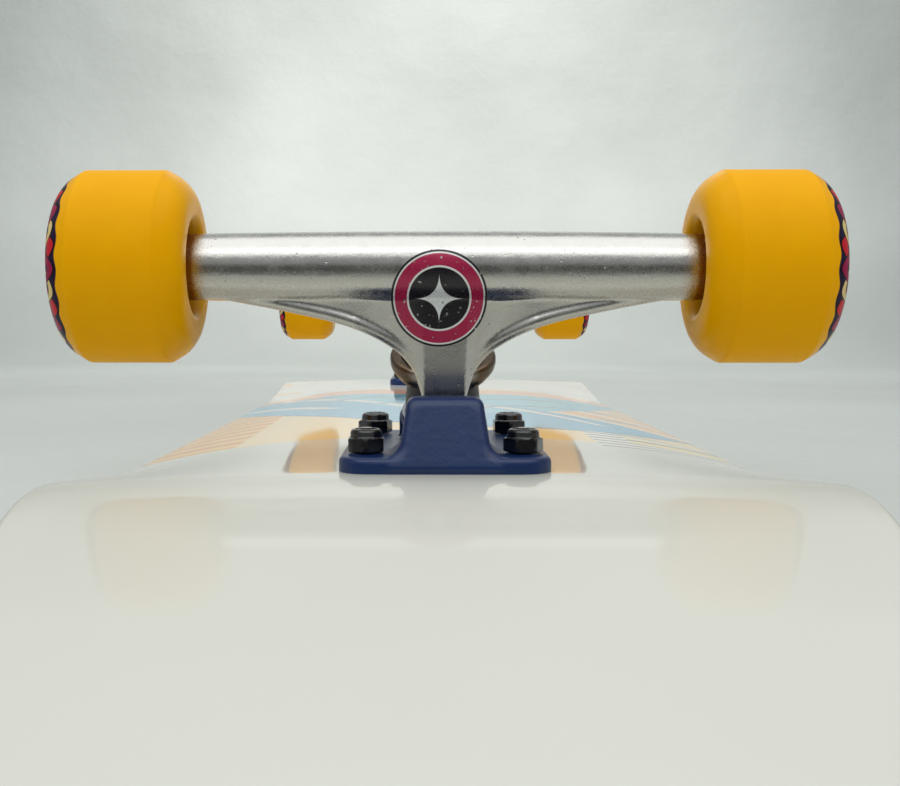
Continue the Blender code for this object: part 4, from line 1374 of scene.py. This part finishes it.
def build_truck(end, direction, meshes, finishes):
    """One whole truck. Its own -Y points to the board's tip at that end."""
    world = Matrix.Translation((0, direction * bolt_centre_y(), DECK_Z))
    if direction > 0:
        world = world @ Matrix.Rotation(math.pi, 4, "Z")
    stack = world @ tilt_frame()

    def finished(*names):
        return [finishes[name] for name in names]

    ride(f"{end}_baseplate", meshes["baseplate"], world, finished("navy"))
    ride(f"{end}_pivot_cup", meshes["pivot_cup"], world, finished("rubber"))
    stacked = (("kingpin", ("steel",)), ("lower_washer", ("zinc",)), ("upper_washer", ("zinc",)),
               ("kingpin_nut", ("zinc", "nylon")))
    for label, names in stacked:
        ride(f"{end}_{label}", meshes[label], stack, finished(*names))
    spans = {"lower_bushing": LOWER_BUSHING, "upper_bushing": tuple(reversed(UPPER_BUSHING))}
    for label, (board_end, hanger_end) in spans.items():
        piece = put(f"{end}_{label}", meshes[label], stack, finished("rubber"))
        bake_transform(piece)
    for number, (x, y) in enumerate(bolt_places(), start=1):
        turn = Matrix.Rotation(math.radians(BOLT_TURNS[number - 1]), 4, "Z")
        spot = world @ Matrix.Translation((x, y, 0)) @ turn
        for label, names in (("mounting_bolt", ("black",)), ("mounting_nut", ("black", "black_nylon"))):
            ride(f"{end}_{label}_{number}", meshes[label], spot, finished(*names))

    ride(f"{end}_hanger", meshes["hanger"], world, finished("casting", "badge"))
    axle = world @ axle_place()
    ride(f"{end}_axle", meshes["axle"], axle, finished("steel"))
    inner_washer = BARREL_HALF + GAP
    wheel_centre = inner_washer + SPEED_WASHER[1] + GAP + BEARING_WIDTH + SPACER_WIDTH / 2
    outer_washer = wheel_centre + SPACER_WIDTH / 2 + BEARING_WIDTH + GAP
    nut_face = outer_washer + SPEED_WASHER[1] + GAP
    parts = (("inner_speed_washer", "speed_washer", inner_washer, ("zinc",), "bright_steel"),
             ("outer_speed_washer", "speed_washer", outer_washer, ("zinc",), "bright_steel"),
             ("axle_nut", "axle_nut", nut_face, ("zinc", "nylon"), "bright_steel"),
             ("wheel", "wheel", wheel_centre, ("urethane", "urethane_print"), "yellow_urethane"),
             ("wheel_bearings", "wheel_bearings", wheel_centre, ("bearing",), "bright_steel"))
    for way in (-1, 1):
        side = "left" if way * direction > 0 else "right"
        half = axle @ Matrix.Rotation(0 if way > 0 else math.pi, 4, "Z")
        for label, mesh, out, names, slot in parts:
            place = half @ Matrix.Translation((out, 0, 0))
            ride(f"{end}_{side}_{label}", meshes[mesh], place, finished(*names),
                 origin=place.translation)


# ---------------------------------------------------------------- surroundings

def backdrop():
    """A pale cloth that runs from under the board up a wall behind it, in soft folds."""
    front, back, bend, top, half = -3.0, 3.2, 0.9, 2.6, 4.0
    line = [(front, 0.0), (-0.5, 0.0), (0.5, 0.0)]
    line += [(back - bend + y, z + bend) for y, z in arc((0, 0), bend, 270, 360, 24)]
    line += [(back, top)]
    points = [(x, y, z) for y, z in line for x in (-half, half)]
    faces = [(2 * i, 2 * i + 1, 2 * i + 3, 2 * i + 2) for i in range(len(line) - 1)]
    sheet = new_object("backdrop", mesh_from(points, faces))
    finish = Finish("pale_cloth", Roughness=0.9)
    folds = finish.noise(1.3, 3.0, 0.45)
    colour = finish.blend(finish.span(folds, 0.3, 0.7), rgb(214, 217, 212), rgb(230, 233, 228))
    x, _, z = finish.axes()
    # painted shade: the cloth darkens to its sides, up the wall and low down on the floor
    sides, upward, downward = CLOTH_PAINTED_SHADE
    colour = finish.blend(finish.span(finish.size(x), *sides, 0.0, 0.50), colour,
                          rgb(150, 158, 154))
    colour = finish.blend(finish.span(z, *upward, 0.0, 0.30), colour, rgb(150, 156, 151))
    low = finish.under(z, *downward)
    colour = finish.blend(finish.both(low, 0.45), colour, rgb(150, 156, 152))
    finish.paint(colour)
    finish.bump(folds, 0.05)
    finish.bump(finish.noise(5.0, 4.0, 0.6), 0.008)
    finish.bump(finish.noise(900.0, 2.0), 0.0002)
    sheet.data.materials.append(finish.material)
    sheet.data.shade_smooth()


def grey_card(name, start, end, half, shade):
    """A grey card in front of the board, out of the camera's sight, for the metal to reflect."""
    corners = [(x, *edge) for edge in (start, end) for x in (-half, half)]
    card = new_object(name, mesh_from(corners, [(0, 1, 3, 2)]))
    greys = [rgb(level, level, level - 2) for level in (shade - 4, shade + 4)]
    card.data.materials.append(rubbery(name, *greys, 0.9))
    card.visible_camera = False
    card.visible_shadow = False
    card.visible_diffuse = False


def sky():
    """A soft room, brighter overhead and a little brighter behind the board."""
    world = bpy.data.worlds.new("room")
    bpy.context.scene.world = world
    world.use_nodes = True
    nodes = Nodes(world.node_tree)
    _, back, up = nodes.split(nodes.node("ShaderNodeTexCoord").outputs["Generated"])
    level = nodes.math("MULTIPLY_ADD", back, WORLD_BACK_GAIN, WORLD_LEVEL)
    level = nodes.math("MULTIPLY_ADD", up, WORLD_TOP_GAIN, level)
    background = nodes.tree.nodes["Background"]
    nodes.feed(background.inputs["Strength"],
               nodes.node("ShaderNodeClamp", {0: level, 1: WORLD_LOWEST}).outputs[0])
    background.inputs["Color"].default_value = WORLD_TINT


def soft_light(name, place, target, size, power, mirrored):
    data = bpy.data.lights.new(name, "AREA")
    data.shape = "RECTANGLE"
    data.size, data.size_y = size
    data.energy = power
    lamp = new_object(name, data)
    lamp.location = place
    lamp.visible_glossy = mirrored
    lamp.rotation_euler = (Vector(target) - Vector(place)).to_track_quat("-Z", "Y").to_euler()


def camera():
    data = bpy.data.cameras.new("camera")
    data.lens = CAMERA_LENS
    data.sensor_width = 36.0
    data.shift_x = CAMERA_SHIFT
    eye = new_object("camera", data)
    eye.location = CAMERA_PLACE
    pitch, yaw = CAMERA_AIM
    eye.rotation_euler = (math.radians(90 + pitch), 0.0, math.radians(-yaw))
    bpy.context.scene.camera = eye


def main():
    finishes = {
        "deck_print": deck_print(), "deck_plies": deck_plies(), "deck_bare": deck_bare(),
        "grit": grit(), "navy": navy_paint(), "casting": cast_aluminium("cast_aluminium").material,
        "badge": badge_mark(), "steel": steel("ground_steel", rgb(200, 201, 204), 0.24),
        "zinc": steel("zinc_steel", rgb(190, 192, 196), 0.30), "black": black_finish(),
        "nylon": nylon("white_nylon", rgb(214, 216, 214)),
        "black_nylon": nylon("black_nylon", rgb(26, 26, 28)),
        "bearing": bearing_steel(), "urethane": urethane("yellow_urethane").material,
        "urethane_print": printed_urethane(),
        "rubber": rubbery("black_urethane", rgb(17, 17, 19), rgb(32, 32, 35), 0.38),
    }
    build_deck(finishes)
    meshes = truck_meshes()
    build_truck("front", -1, meshes, finishes)
    build_truck("rear", 1, meshes, finishes)
    backdrop()
    for card in CARDS:
        grey_card(*card)
    sky()
    for light in LIGHTS:
        soft_light(*light)
    camera()
    bpy.context.scene.view_settings.view_transform = "Standard"


main()
